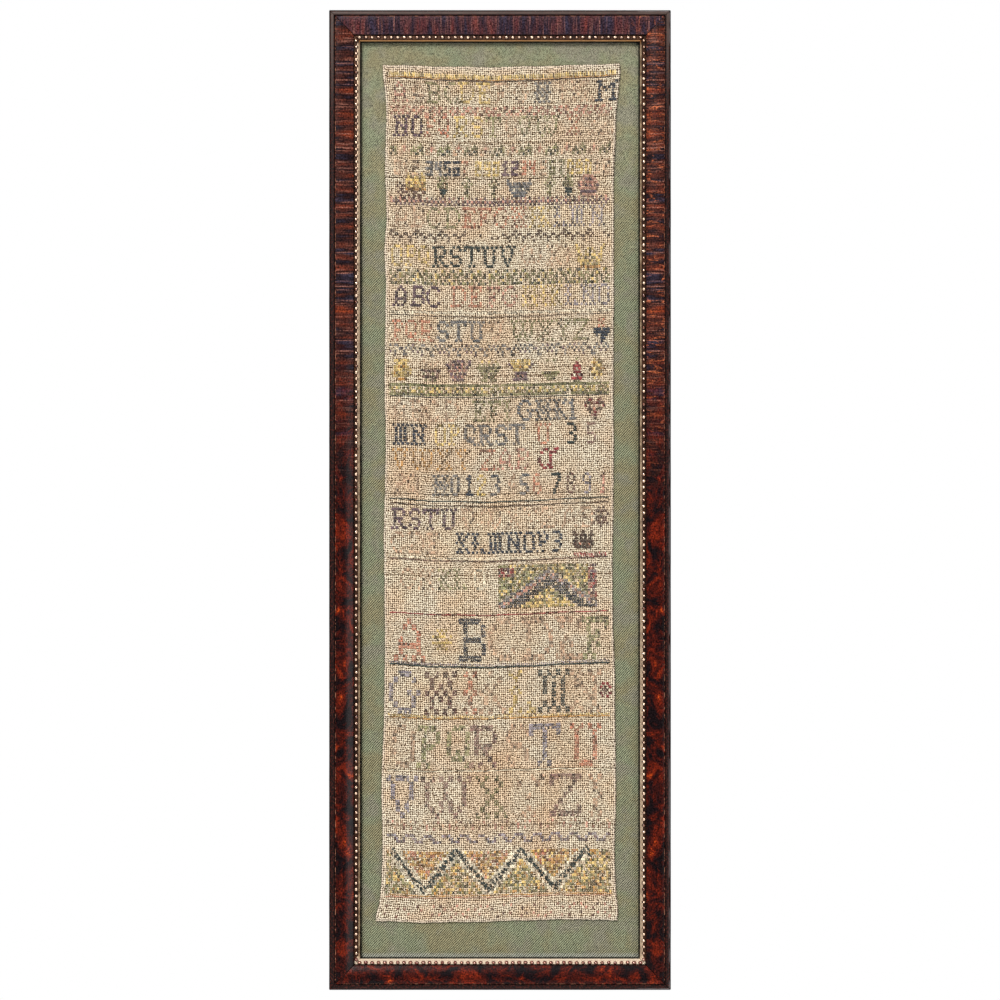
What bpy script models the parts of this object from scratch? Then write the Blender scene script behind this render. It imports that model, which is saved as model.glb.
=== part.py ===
"""A long narrow band sampler in its glazed frame, as it hangs on a wall.

Metres, +Z up. X runs across the frame, Y into the wall, and the front faces -Y.
The origin is the middle of the back, in the plane that lies against the wall.
"Inward" is the distance from the frame's outer edge towards the sampler, and
"forward" the distance from the back plane towards the room.
"""

import math
from collections import namedtuple

import bmesh
import bpy
import numpy as np

MM = 0.001
OBJECT_NAME = "framed_sampler"

# Driving sizes
FRAME_WIDTH = 279 * MM
FRAME_HEIGHT = 800 * MM
GAP = 0.3 * MM  # clearance between neighbouring pieces
MITRE_SETBACK = GAP / 2 * math.sqrt(2)  # along the rail, for a gap of that width at 45 degrees

# Section of the ebonised rail, with the rebate behind its lip
REBATE_INWARD = 15.0 * MM
LIP_INWARD = 20.1 * MM
LIP_BACK = 13.8 * MM
SHOULDER_RADIUS = 2.6 * MM
SHOULDER_FORWARD = 18.8 * MM
SHOULDER_END = 4.4 * MM
SEAT_OUTER = 17.2 * MM  # forward height of the veneer's seat at the shoulder
SEAT_INNER = 15.9 * MM  # and at the lip
SHOULDER_STEPS = 7

# Tortoiseshell band, a low cushion that falls towards the sampler
BAND_OUTER = SHOULDER_END + 2 * GAP
BAND_INNER = 19.9 * MM
BAND_ARRIS = 0.7 * MM  # chamfer along its outer edge
BAND_OUTER_FORWARD = 18.5 * MM
BAND_INNER_FORWARD = 17.0 * MM
BAND_CROWN = 0.9 * MM
BAND_STEPS = 9

# Gilt slip: a flange behind the lip, a channel for the beads and a sloping fillet
SLIP_INWARD = 25.0 * MM
FLANGE_THICKNESS = 1.6 * MM
CHANNEL_FORWARD = 14.6 * MM
FILLET_START = 23.55 * MM
FILLET_CREST = 23.75 * MM
FILLET_FORWARD = 15.2 * MM
SIGHT_FORWARD = 13.7 * MM

# What lies in the rebate, as the forward height of each back face and the thickness
BACKBOARD_THICKNESS = 3.0 * MM
MOUNT_BOARD_BACK = 3.3 * MM
MOUNT_BOARD_THICKNESS = 2.0 * MM
MOUNT_CLOTH_BACK = 5.6 * MM
MOUNT_CLOTH_THICKNESS = 1.0 * MM
LINEN_BACK = 6.9 * MM
LINEN_THICKNESS = 1.0 * MM
GLASS_BACK = 9.6 * MM
GLASS_THICKNESS = 2.0 * MM
FLANGE_BACK = GLASS_BACK + GLASS_THICKNESS + GAP

INSET_WIDTH = FRAME_WIDTH - 2 * (REBATE_INWARD + GAP)
INSET_HEIGHT = FRAME_HEIGHT - 2 * (REBATE_INWARD + GAP)

# Outline of the linen in mm, a row for each height where an edge changes its course
LinenSide = namedtuple("LinenSide", "height left right")
LINEN_SIDES = (
    LinenSide(356.0, -96.4, 98.2),
    LinenSide(343.0, -95.6, 98.0),
    LinenSide(329.0, -93.8, 96.6),
    LinenSide(315.0, -93.4, 95.0),
    LinenSide(296.0, -93.6, 94.5),
    LinenSide(268.0, -94.0, 93.4),
    LinenSide(229.0, -92.7, 93.3),
    LinenSide(202.0, -95.1, 93.2),
    LinenSide(177.0, -93.7, 93.1),
    LinenSide(132.0, -94.1, 93.1),
    LinenSide(87.0, -94.4, 93.1),
    LinenSide(45.0, -93.7, 93.1),
    LinenSide(6.0, -94.6, 92.8),
    LinenSide(-32.0, -95.1, 92.5),
    LinenSide(-66.0, -94.6, 92.3),
    LinenSide(-100.0, -94.4, 92.6),
    LinenSide(-155.0, -94.7, 94.0),
    LinenSide(-195.0, -95.4, 94.5),
    LinenSide(-241.0, -97.4, 95.4),
    LinenSide(-263.0, -96.4, 94.4),
    LinenSide(-283.0, -96.4, 93.6),
    LinenSide(-316.0, -97.4, 94.4),
    LinenSide(-331.0, -98.8, 96.2),
    LinenSide(-339.0, -101.1, 96.8),
    LinenSide(-344.0, -102.3, 95.4),
)
# How far the top and bottom edges stray upwards from straight, in mm
LinenEnd = namedtuple("LinenEnd", "share_across top bottom")
LINEN_ENDS = (
    LinenEnd(0.00, 0.6, -0.2),
    LinenEnd(0.20, -0.8, -2.2),
    LinenEnd(0.45, -1.6, -1.5),
    LinenEnd(0.70, -0.3, 0.3),
    LinenEnd(0.88, 0.9, 0.7),
    LinenEnd(1.00, 2.0, -0.9),
)
END_REACH = 45.0 * MM  # how far from an edge its straying dies out
LINEN_COLUMNS = 14
BILLOW_HEIGHT = 0.7 * MM
BILLOW_ACROSS = 150 * MM
BILLOW_ALONG = 210 * MM


def display_colour(red, green, blue):
    """A linear RGBA colour from the 0-255 values of a display."""
    shares = [value / 255 for value in (red, green, blue)]
    linear = [s / 12.92 if s <= 0.04045 else ((s + 0.055) / 1.055) ** 2.4 for s in shares]
    return (*linear, 1.0)


Finish = namedtuple("Finish", "colour roughness metallic transmission")
FINISHES = {
    "ebonised_wood": Finish(display_colour(42, 30, 32), 0.35, 0.0, 0.0),
    "tortoiseshell": Finish(display_colour(104, 46, 28), 0.22, 0.0, 0.0),
    "aged_gilt": Finish(display_colour(150, 118, 76), 0.42, 0.85, 0.0),
    "picture_glass": Finish(display_colour(236, 242, 238), 0.04, 0.0, 0.9),
    "sampler_cloth": Finish(display_colour(176, 156, 136), 0.90, 0.0, 0.0),
    "green_cloth": Finish(display_colour(118, 122, 98), 0.92, 0.0, 0.0),
    "grey_card": Finish(display_colour(168, 160, 146), 0.85, 0.0, 0.0),
    "plain_pine": Finish(display_colour(150, 116, 78), 0.65, 0.0, 0.0),
}

# Each side's turn about Y, its outer edge's place and its length along that edge
Side = namedtuple("Side", "turn across up length")
SIDES = {
    "left": Side(0.0, -FRAME_WIDTH / 2, 0.0, FRAME_HEIGHT),
    "right": Side(math.pi, FRAME_WIDTH / 2, 0.0, FRAME_HEIGHT),
    "top": Side(math.pi / 2, 0.0, FRAME_HEIGHT / 2, FRAME_WIDTH),
    "bottom": Side(-math.pi / 2, 0.0, -FRAME_HEIGHT / 2, FRAME_WIDTH),
}


def clear_scene():
    """Removes whatever the file holds."""
    for item in list(bpy.data.objects):
        bpy.data.objects.remove(item, do_unlink=True)


def parts_collection():
    """The collection that holds the object's pieces."""
    collection = bpy.data.collections.new(OBJECT_NAME)
    bpy.context.scene.collection.children.link(collection)
    return collection


def make_finish(name):
    """A Principled material from the table of finishes."""
    finish = FINISHES[name]
    material = bpy.data.materials.new(name)
    material.use_nodes = True
    shader = material.node_tree.nodes["Principled BSDF"]
    shader.inputs["Base Color"].default_value = finish.colour
    shader.inputs["Roughness"].default_value = finish.roughness
    shader.inputs["Metallic"].default_value = finish.metallic
    shader.inputs["Transmission Weight"].default_value = finish.transmission
    material.diffuse_color = finish.colour
    return material


def add_piece(name, mesh, collection, finish):
    """Links a mesh as one named piece in one finish."""
    piece = bpy.data.objects.new(name, mesh)
    mesh.materials.clear()
    mesh.materials.append(finish)
    collection.objects.link(piece)
    return piece


def extruded_section(name, outline, length):
    """A mesh of this (inward, forward) outline, run out along Z to the length, centred."""
    curve = bpy.data.curves.new(name, "CURVE")
    curve.dimensions = "2D"
    curve.fill_mode = "BOTH"
    curve.extrude = length / 2
    spline = curve.splines.new("POLY")
    spline.points.add(len(outline) - 1)
    for point, (inward, forward) in zip(spline.points, outline):
        point.co = (inward, -forward, 0, 1)
    spline.use_cyclic_u = True
    guide = bpy.data.objects.new(name + "_section", curve)
    bpy.context.scene.collection.objects.link(guide)
    depsgraph = bpy.context.evaluated_depsgraph_get()
    mesh = bpy.data.meshes.new_from_object(guide.evaluated_get(depsgraph))
    bpy.data.objects.remove(guide, do_unlink=True)
    bpy.data.curves.remove(curve)
    mesh.name = name
    return mesh


def close_mesh(mesh):
    """Welds the loose caps to the walls and turns every face outwards."""
    work = bmesh.new()
    work.from_mesh(mesh)
    bmesh.ops.remove_doubles(work, verts=work.verts, dist=0.01 * MM)
    bmesh.ops.recalc_face_normals(work, faces=work.faces)
    work.to_mesh(mesh)
    work.free()


def mitre_ends(mesh):
    """Cuts both ends at 45 degrees: each end point draws back by its distance inward."""
    for vertex in mesh.vertices:
        draw_back = vertex.co.x + MITRE_SETBACK
        vertex.co.z -= math.copysign(draw_back, vertex.co.z)


def add_moulding(kind, outline, collection, finish):
    """Four mitred lengths of one section, named after their sides."""
    for name, side in SIDES.items():
        mesh = extruded_section(f"{kind}_{name}", outline, side.length)
        close_mesh(mesh)
        mitre_ends(mesh)
        piece = add_piece(f"{kind}_{name}", mesh, collection, finish)
        piece.rotation_euler = (0.0, side.turn, 0.0)
        piece.location = (side.across, 0.0, side.up)


def rail_outline():
    """The ebonised rail: flat back, rounded outer shoulder, seat for the veneer, lip and rebate."""
    centre_forward = SHOULDER_FORWARD - SHOULDER_RADIUS
    shoulder = []
    for step in range(SHOULDER_STEPS + 1):
        angle = math.pi / 2 * step / SHOULDER_STEPS
        inward = SHOULDER_RADIUS * (1 - math.cos(angle))
        forward = centre_forward + SHOULDER_RADIUS * math.sin(angle)
        shoulder.append((inward, forward))
    return [
        (0.0, 0.0),
        *shoulder,
        (SHOULDER_END, SHOULDER_FORWARD),
        (SHOULDER_END, SEAT_OUTER),
        (LIP_INWARD, SEAT_INNER),
        (LIP_INWARD, LIP_BACK),
        (REBATE_INWARD, LIP_BACK),
        (REBATE_INWARD, 0.0),
    ]


def band_outline():
    """The tortoiseshell band: flat underside along its seat, chamfered arris, low crown."""
    seat_slope = (SEAT_INNER - SEAT_OUTER) / (LIP_INWARD - SHOULDER_END)

    def underside(inward):
        return SEAT_OUTER + seat_slope * (inward - SHOULDER_END) + GAP

    crown = []
    crown_start = BAND_OUTER + BAND_ARRIS
    start_forward = BAND_OUTER_FORWARD + BAND_ARRIS
    for step in range(BAND_STEPS + 1):
        share = step / BAND_STEPS
        inward = crown_start + share * (BAND_INNER - crown_start)
        chord = start_forward + share * (BAND_INNER_FORWARD - start_forward)
        crown.append((inward, chord + 4 * BAND_CROWN * share * (1 - share)))
    return [
        (BAND_OUTER, underside(BAND_OUTER)),
        (BAND_OUTER, BAND_OUTER_FORWARD),
        *crown,
        (BAND_INNER, underside(BAND_INNER)),
    ]


def slip_outline():
    """The gilt slip: flange in the rebate, bead channel and fillet down to the sight edge."""
    flange_front = FLANGE_BACK + FLANGE_THICKNESS
    return [
        (REBATE_INWARD + GAP, FLANGE_BACK),
        (REBATE_INWARD + GAP, flange_front),
        (LIP_INWARD + GAP, flange_front),
        (LIP_INWARD + GAP, CHANNEL_FORWARD),
        (FILLET_START, CHANNEL_FORWARD),
        (FILLET_CREST, FILLET_FORWARD),
        (SLIP_INWARD, SIGHT_FORWARD),
        (SLIP_INWARD, FLANGE_BACK),
    ]


def add_sheet(name, back, thickness, collection, finish):
    """A flat rectangular layer that fills the rebate, its back face at this forward height."""
    bpy.ops.mesh.primitive_cube_add(size=1.0)
    made = bpy.context.object
    mesh = made.data
    bpy.data.objects.remove(made, do_unlink=True)
    mesh.name = name
    size = (INSET_WIDTH, thickness, INSET_HEIGHT)
    for vertex in mesh.vertices:
        vertex.co = [vertex.co[axis] * size[axis] for axis in range(3)]
    sheet = add_piece(name, mesh, collection, finish)
    sheet.location = (0.0, -(back + thickness / 2), 0.0)


def billow(across, up):
    """How far the linen stands off its mount at this place, from 0 to BILLOW_HEIGHT."""
    wave_across = math.sin(2 * math.pi * across / BILLOW_ACROSS + 0.8)
    wave_along = math.cos(2 * math.pi * up / BILLOW_ALONG + across / BILLOW_ACROSS)
    return BILLOW_HEIGHT * (0.5 + 0.5 * wave_across * wave_along)


def linen_points():
    """Rows of points over the linen's front, from the top down, each from left to right."""
    heights, lefts, rights = (np.array(column) * MM for column in zip(*LINEN_SIDES))
    shares, top_stray, bottom_stray = (np.array(column) for column in zip(*LINEN_ENDS))
    rows = []
    for height, left, right in zip(heights, lefts, rights):
        near_top = max(0.0, 1 - (heights[0] - height) / END_REACH)
        near_bottom = max(0.0, 1 - (height - heights[-1]) / END_REACH)
        row = []
        for column in range(LINEN_COLUMNS + 1):
            share = column / LINEN_COLUMNS
            across = left + share * (right - left)
            up = height
            up += near_top * np.interp(share, shares, top_stray) * MM
            up += near_bottom * np.interp(share, shares, bottom_stray) * MM
            forward = LINEN_BACK + LINEN_THICKNESS + billow(across, up)
            row.append((across, -forward, up))
        rows.append(row)
    return rows


def add_linen(collection, finish):
    """The sampler's cloth: an uneven open surface given its thickness towards the mount."""
    rows = linen_points()
    work = bmesh.new()
    verts = [[work.verts.new(point) for point in row] for row in rows]
    for upper, lower in zip(verts, verts[1:]):
        for column in range(LINEN_COLUMNS):
            work.faces.new((upper[column], lower[column], lower[column + 1], upper[column + 1]))
    bmesh.ops.triangulate(work, faces=work.faces)
    mesh = bpy.data.meshes.new("sampler_linen")
    work.to_mesh(mesh)
    work.free()
    linen = add_piece("sampler_linen", mesh, collection, finish)
    thickness = linen.modifiers.new("cloth_thickness", "SOLIDIFY")
    thickness.thickness = LINEN_THICKNESS
    thickness.offset = -1.0


def main():
    """Builds the frame, what it holds and its back."""
    clear_scene()
    collection = parts_collection()
    finishes = {name: make_finish(name) for name in FINISHES}
    add_moulding("rail", rail_outline(), collection, finishes["ebonised_wood"])
    add_moulding("band", band_outline(), collection, finishes["tortoiseshell"])
    add_moulding("slip", slip_outline(), collection, finishes["aged_gilt"])
    add_sheet("glazing", GLASS_BACK, GLASS_THICKNESS, collection, finishes["picture_glass"])
    add_linen(collection, finishes["sampler_cloth"])
    cloth_back, cloth_thickness = MOUNT_CLOTH_BACK, MOUNT_CLOTH_THICKNESS
    add_sheet("mount_cloth", cloth_back, cloth_thickness, collection, finishes["green_cloth"])
    board_back, board_thickness = MOUNT_BOARD_BACK, MOUNT_BOARD_THICKNESS
    add_sheet("mount_board", board_back, board_thickness, collection, finishes["grey_card"])
    add_sheet("backboard", 0.0, BACKBOARD_THICKNESS, collection, finishes["plain_pine"])


main()
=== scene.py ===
"""Finished look of a long band sampler, worked in cross stitch and framed behind glass.

Metres, +Z up, the front faces -Y. The linen is a sheet with a grid of stitches on it: a place
on the cloth is (across, down), counted in stitches from its top left corner. On the moulding a
place is (along, inward), where inward is the distance from the frame's outer edge.
"""

import logging
import math
from collections.abc import Callable, Iterable, Sequence
from dataclasses import dataclass, field
from enum import Enum

import bmesh
import bpy
import numpy as np
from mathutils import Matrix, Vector, noise
from mathutils.bvhtree import BVHTree


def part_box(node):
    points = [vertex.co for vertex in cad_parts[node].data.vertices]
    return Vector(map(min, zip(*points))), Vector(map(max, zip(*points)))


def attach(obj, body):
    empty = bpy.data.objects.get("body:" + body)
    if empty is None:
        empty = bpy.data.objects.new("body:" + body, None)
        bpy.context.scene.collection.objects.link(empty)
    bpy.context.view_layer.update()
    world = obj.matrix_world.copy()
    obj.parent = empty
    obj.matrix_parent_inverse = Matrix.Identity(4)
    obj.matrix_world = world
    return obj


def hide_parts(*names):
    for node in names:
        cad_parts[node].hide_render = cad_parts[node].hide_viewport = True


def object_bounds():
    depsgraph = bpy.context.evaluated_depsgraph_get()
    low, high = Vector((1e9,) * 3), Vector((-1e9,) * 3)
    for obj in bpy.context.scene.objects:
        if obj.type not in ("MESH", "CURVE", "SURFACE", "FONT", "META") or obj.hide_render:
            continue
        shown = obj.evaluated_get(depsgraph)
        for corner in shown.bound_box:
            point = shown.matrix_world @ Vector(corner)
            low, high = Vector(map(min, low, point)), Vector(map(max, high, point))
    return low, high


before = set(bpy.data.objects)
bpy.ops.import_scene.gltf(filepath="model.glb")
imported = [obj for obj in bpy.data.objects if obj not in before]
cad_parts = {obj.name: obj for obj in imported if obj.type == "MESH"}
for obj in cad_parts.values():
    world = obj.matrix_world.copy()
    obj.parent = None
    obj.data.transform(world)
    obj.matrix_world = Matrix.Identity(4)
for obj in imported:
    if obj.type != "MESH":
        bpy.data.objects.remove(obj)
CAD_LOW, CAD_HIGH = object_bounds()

LOG = logging.getLogger("framed_sampler")
MM = 0.001
BODY = "root"

Colour = tuple[float, float, float]
Feed = bpy.types.NodeSocket | float | Colour


def display(red: int, green: int, blue: int) -> Colour:
    """Turns a colour as a display shows it into the linear one that shaders take.

    Args:
        red: red, 0 to 255.
        green: green, 0 to 255.
        blue: blue, 0 to 255.

    Returns:
        The linear colour.
    """
    shares = (red / 255, green / 255, blue / 255)
    return tuple(s / 12.92 if s <= 0.04045 else ((s + 0.055) / 1.055) ** 2.4 for s in shares)


def side_by_side(first: float, last: float, count: int) -> np.ndarray:
    """Evenly spaced values from first to last, both included."""
    return np.linspace(first, last, count)


def deselect_all() -> None:
    """Leaves object mode with nothing selected, so that an operator acts on its own piece only."""
    if bpy.context.object and bpy.context.object.mode != "OBJECT":
        bpy.ops.object.mode_set(mode="OBJECT")
    bpy.ops.object.select_all(action="DESELECT")


def make_active(piece: bpy.types.Object) -> None:
    """Selects one piece alone and makes it the active one."""
    deselect_all()
    piece.select_set(True)
    bpy.context.view_layer.objects.active = piece


def own_piece(piece: bpy.types.Object, replaced: Sequence[str] = ()) -> None:
    """Hands a finished piece to the frame.

    Args:
        piece: the piece, in place.
        replaced: the CAD nodes that it stands for.
    """
    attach(piece, BODY)
    if replaced:
        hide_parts(*replaced)
    LOG.info("%s: %d faces", piece.name, len(piece.data.polygons))


# ---------------------------------------------------------------------------------------------
# Finishes
# ---------------------------------------------------------------------------------------------


class FinishNodes:
    """The node tree of one material, with short calls for the nodes that the finishes use."""

    def __init__(self, name: str) -> None:
        """Starts a material with one Principled shader."""
        self.material = bpy.data.materials.new(name)
        self.material.use_nodes = True
        self.tree = self.material.node_tree
        self.shader = self.tree.nodes["Principled BSDF"]

    def feed(self, socket: bpy.types.NodeSocket, value: Feed) -> None:
        """Links a socket to another one, or sets its own value.

        Args:
            socket: the input to fill.
            value: an output to link, a number, or a colour or vector of three numbers.
        """
        if isinstance(value, bpy.types.NodeSocket):
            self.tree.links.new(value, socket)
        elif isinstance(value, tuple) and socket.type == "RGBA":
            socket.default_value = (*value, 1.0)
        else:
            socket.default_value = value

    def set(self, **values: Feed) -> None:
        """Fills the shader's inputs, named as in Blender with _ for each space."""
        for name, value in values.items():
            self.feed(self.shader.inputs[name.replace("_", " ")], value)

    def maths(self, operation: str, *values: Feed) -> bpy.types.NodeSocket:
        """One Math node.

        Args:
            operation: Blender's name for the sum.
            values: its one to three inputs.

        Returns:
            The result.
        """
        node = self.tree.nodes.new("ShaderNodeMath")
        node.operation = operation
        for socket, value in zip(node.inputs, values):
            self.feed(socket, value)
        return node.outputs[0]

    def place(self) -> bpy.types.NodeSocket:
        """Object coordinates, which are the row's own metres."""
        return self.tree.nodes.new("ShaderNodeTexCoord").outputs["Object"]

    def map_place(self, name: str) -> bpy.types.NodeSocket:
        """Coordinates from one of the piece's UV maps."""
        node = self.tree.nodes.new("ShaderNodeUVMap")
        node.uv_map = name
        return node.outputs[0]

    def split(self, vector: bpy.types.NodeSocket) -> Sequence[bpy.types.NodeSocket]:
        """The X, Y and Z of a vector."""
        node = self.tree.nodes.new("ShaderNodeSeparateXYZ")
        self.feed(node.inputs[0], vector)
        return node.outputs

    def join(self, x: Feed, y: Feed, z: Feed = 0.0) -> bpy.types.NodeSocket:
        """A vector of three numbers."""
        node = self.tree.nodes.new("ShaderNodeCombineXYZ")
        for socket, value in zip(node.inputs, (x, y, z)):
            self.feed(socket, value)
        return node.outputs[0]

    def mapped(
        self, vector: Feed, scale: Colour, turn: float = 0.0, shift: Colour = (0, 0, 0)
    ) -> bpy.types.NodeSocket:
        """A vector moved, turned about Y and stretched.

        Args:
            vector: what to map.
            scale: the stretch along each axis.
            turn: the turn about Y, in radians.
            shift: how far it is moved.

        Returns:
            The mapped vector.
        """
        node = self.tree.nodes.new("ShaderNodeMapping")
        self.feed(node.inputs["Vector"], vector)
        node.inputs["Scale"].default_value = scale
        node.inputs["Rotation"].default_value = (0.0, turn, 0.0)
        node.inputs["Location"].default_value = shift
        return node.outputs[0]

    def cloud(
        self,
        vector: Feed,
        scale: float,
        detail: float = 2.0,
        roughness: float = 0.5,
        distortion: float = 0.0,
    ) -> bpy.types.NodeSocket:
        """Smooth noise, about 0.2 to 0.8.

        Args:
            vector: where it is read.
            scale: how many swells there are to a unit.
            detail: how many finer layers it has.
            roughness: how strong those are.
            distortion: how much it is swirled.

        Returns:
            The noise's value.
        """
        node = self.tree.nodes.new("ShaderNodeTexNoise")
        self.feed(node.inputs["Vector"], vector)
        node.inputs["Scale"].default_value = scale
        node.inputs["Detail"].default_value = detail
        node.inputs["Roughness"].default_value = roughness
        node.inputs["Distortion"].default_value = distortion
        return node.outputs["Fac"]

    def ease(self, value: Feed, low: float, high: float) -> bpy.types.NodeSocket:
        """Turns a number into a share that rises softly from 0 at low to 1 at high."""
        node = self.tree.nodes.new("ShaderNodeMapRange")
        node.interpolation_type = "SMOOTHSTEP"
        self.feed(node.inputs["Value"], value)
        node.inputs["From Min"].default_value = low
        node.inputs["From Max"].default_value = high
        return node.outputs["Result"]

    def span(self, value: Feed, low: float, high: float) -> bpy.types.NodeSocket:
        """Turns a share from 0 to 1 into a number from low to high."""
        node = self.tree.nodes.new("ShaderNodeMapRange")
        self.feed(node.inputs["Value"], value)
        node.inputs["To Min"].default_value = low
        node.inputs["To Max"].default_value = high
        return node.outputs["Result"]

    def ramp(self, share: Feed, *stops: tuple[float, Colour]) -> bpy.types.NodeSocket:
        """A run of colours.

        Args:
            share: where along the run, 0 to 1.
            stops: the place and the colour of each stop, in order.

        Returns:
            The colour there.
        """
        node = self.tree.nodes.new("ShaderNodeValToRGB")
        self.feed(node.inputs[0], share)
        run = node.color_ramp.elements
        while len(run) < len(stops):
            run.new(0.5)
        for element, (at, colour) in zip(run, stops):
            element.position = at
            element.color = (*colour, 1.0)
        return node.outputs[0]

    def blend(
        self, share: Feed, first: Feed, second: Feed, kind: str = "MIX"
    ) -> bpy.types.NodeSocket:
        """Mixes two colours.

        Args:
            share: how much of the second there is.
            first: the first colour.
            second: the second colour.
            kind: Blender's name for the way of mixing.

        Returns:
            The mixed colour.
        """
        node = self.tree.nodes.new("ShaderNodeMix")
        node.data_type = "RGBA"
        node.blend_type = kind
        for index, value in ((0, share), (6, first), (7, second)):
            self.feed(node.inputs[index], value)
        return node.outputs[2]

    def grey(self, value: Feed) -> bpy.types.NodeSocket:
        """A number as a grey colour."""
        return self.join(value, value, value)

    def bump(self, height: Feed, depth: float, strength: float = 1.0) -> None:
        """Gives the shader relief.

        Args:
            height: the relief, 0 to 1.
            depth: how deep 1 is, in metres.
            strength: how much of it shows.
        """
        node = self.tree.nodes.new("ShaderNodeBump")
        self.feed(node.inputs["Height"], height)
        node.inputs["Distance"].default_value = depth
        node.inputs["Strength"].default_value = strength
        self.feed(self.shader.inputs["Normal"], node.outputs[0])

    def on_moulding(self) -> tuple[bpy.types.NodeSocket, bpy.types.NodeSocket]:
        """Coordinates that follow the four rails round the frame and meet at the mitres.

        Returns:
            The distance along the rail and the distance inward from the outer edge, in metres.
        """
        x, _, z = self.split(self.place())
        from_side = self.maths("SUBTRACT", CAD_HIGH.x, self.maths("ABSOLUTE", x))
        from_end = self.maths("SUBTRACT", CAD_HIGH.z, self.maths("ABSOLUTE", z))
        inward = self.maths("MINIMUM", from_side, from_end)
        on_side = self.maths("LESS_THAN", from_side, from_end)
        down_side = self.maths("MULTIPLY", z, on_side)
        along_end = self.maths("MULTIPLY", x, self.maths("SUBTRACT", 1.0, on_side))
        along = self.maths("ADD", down_side, along_end)
        return along, inward


@dataclass(frozen=True)
class LinenFinish:
    """Open, uneven linen: short floats this way and that, pale on top, with dark pin holes."""

    name: str = "faded_linen"
    pale: Colour = display(254, 243, 223)
    warm: Colour = display(255, 231, 205)
    shade: Colour = display(128, 95, 63)
    hole: Colour = display(46, 27, 8)
    edge: Colour = display(255, 236, 216)
    edge_width: float = 1.6  # in stitches
    columns: int = 102
    rows: int = 277
    across_rate: float = 1.12  # threads to a stitch
    down_rate: float = 1.4

    def make(self) -> bpy.types.Material:
        """Builds the material.

        Returns:
            The material, which reads the map named stitch_grid.
        """
        nodes = FinishNodes(self.name)
        grid = nodes.map_place("stitch_grid")
        shifted = nodes.mapped(grid, (1, 1, 1), shift=(37, 11, 0))
        grid_across, grid_down, _ = nodes.split(grid)
        drift = nodes.span(nodes.cloud(grid, 0.9, 2.0), -0.6, 0.6)
        across = nodes.maths("ADD", grid_across, drift)
        drift = nodes.span(nodes.cloud(shifted, 0.9, 2.0), -0.5, 0.5)
        down = nodes.maths("ADD", grid_down, drift)
        pair_across = self.humps(nodes, across, math.pi * self.across_rate)
        pair_down = self.humps(nodes, down, math.pi * self.down_rate)
        lie = nodes.ease(nodes.cloud(nodes.mapped(shifted, (0.8, 1.3, 1.0)), 1.3, 1.0), 0.42, 0.58)
        float_height, _, _ = nodes.split(
            nodes.blend(lie, nodes.grey(pair_across), nodes.grey(pair_down))
        )
        crossing = nodes.maths("MULTIPLY", nodes.maths("MULTIPLY", pair_across, pair_down), 0.20)
        threads = nodes.maths("MULTIPLY", nodes.maths("MAXIMUM", pair_across, pair_down), 0.42)
        floats = nodes.maths("MULTIPLY", float_height, 0.40)
        body = nodes.maths("ADD", floats, nodes.maths("ADD", crossing, threads))
        slack = nodes.span(nodes.cloud(nodes.mapped(grid, (1, 1.3, 1)), 1.7, 2.0, 0.8), -0.73, 0.39)
        drawn = nodes.maths("ADD", self.drawn(nodes, grid_across, 0.9), self.drawn(nodes, grid_down, 1.9))
        height = nodes.maths("SUBTRACT", nodes.maths("ADD", body, slack), drawn)
        place = nodes.place()
        wear_and_sheen_patches = nodes.ease(nodes.cloud(place, 34.0, 3.0, 0.6), 0.36, 0.66)
        fibre = nodes.cloud(nodes.mapped(grid, (1.0, 1.5, 1.0)), 2.6, 2.0, 0.9)
        clean = nodes.blend(wear_and_sheen_patches, self.pale, self.warm)
        clean = nodes.blend(0.85, clean, nodes.grey(nodes.span(fibre, 0.14, 1.96)), "MULTIPLY")
        toned = nodes.blend(nodes.ease(height, 0.36, 0.78), self.shade, clean)
        woven = nodes.blend(nodes.ease(height, 0.18, 0.49), self.hole, toned)
        stain = nodes.ramp(
            nodes.cloud(place, 11.0, 3.0, 0.6),
            (0.36, display(250, 238, 224)),
            (0.50, display(255, 252, 246)),
            (0.64, display(255, 248, 236)),
        )
        stained = nodes.blend(1.0, woven, stain, "MULTIPLY")
        from_sides = nodes.maths(
            "MINIMUM", grid_across, nodes.maths("SUBTRACT", float(self.columns), grid_across)
        )
        from_ends = nodes.maths(
            "MINIMUM", grid_down, nodes.maths("SUBTRACT", float(self.rows), grid_down)
        )
        margin = nodes.maths("MINIMUM", from_sides, from_ends)
        at_edge = nodes.maths("SUBTRACT", 1.0, nodes.ease(margin, 0.2, self.edge_width))
        lit = nodes.maths("MULTIPLY", at_edge, nodes.ease(height, 0.2, 0.7))
        colour = nodes.blend(nodes.maths("MULTIPLY", lit, 0.55), stained, self.edge)
        nodes.set(Base_Color=colour, Roughness=0.95)
        nodes.shader.inputs["Specular IOR Level"].default_value = 0.12
        nodes.bump(height, 0.45 * MM)
        return nodes.material

    def humps(
        self, nodes: FinishNodes, value: bpy.types.NodeSocket, rate: float
    ) -> bpy.types.NodeSocket:
        """A row of round humps, 0 between threads and 1 on them."""
        return nodes.maths("ABSOLUTE", nodes.maths("SINE", nodes.maths("MULTIPLY", value, rate)))

    def drawn(
        self, nodes: FinishNodes, count: bpy.types.NodeSocket, turn: float
    ) -> bpy.types.NodeSocket:
        """Fine gaps where a thread is drawn tight, the same all along one column or row."""
        gap = nodes.cloud(nodes.join(count, turn * 7.0), 0.95, 1.0)
        return nodes.maths("MULTIPLY", nodes.ease(gap, 0.68, 0.76), 0.28)


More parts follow.
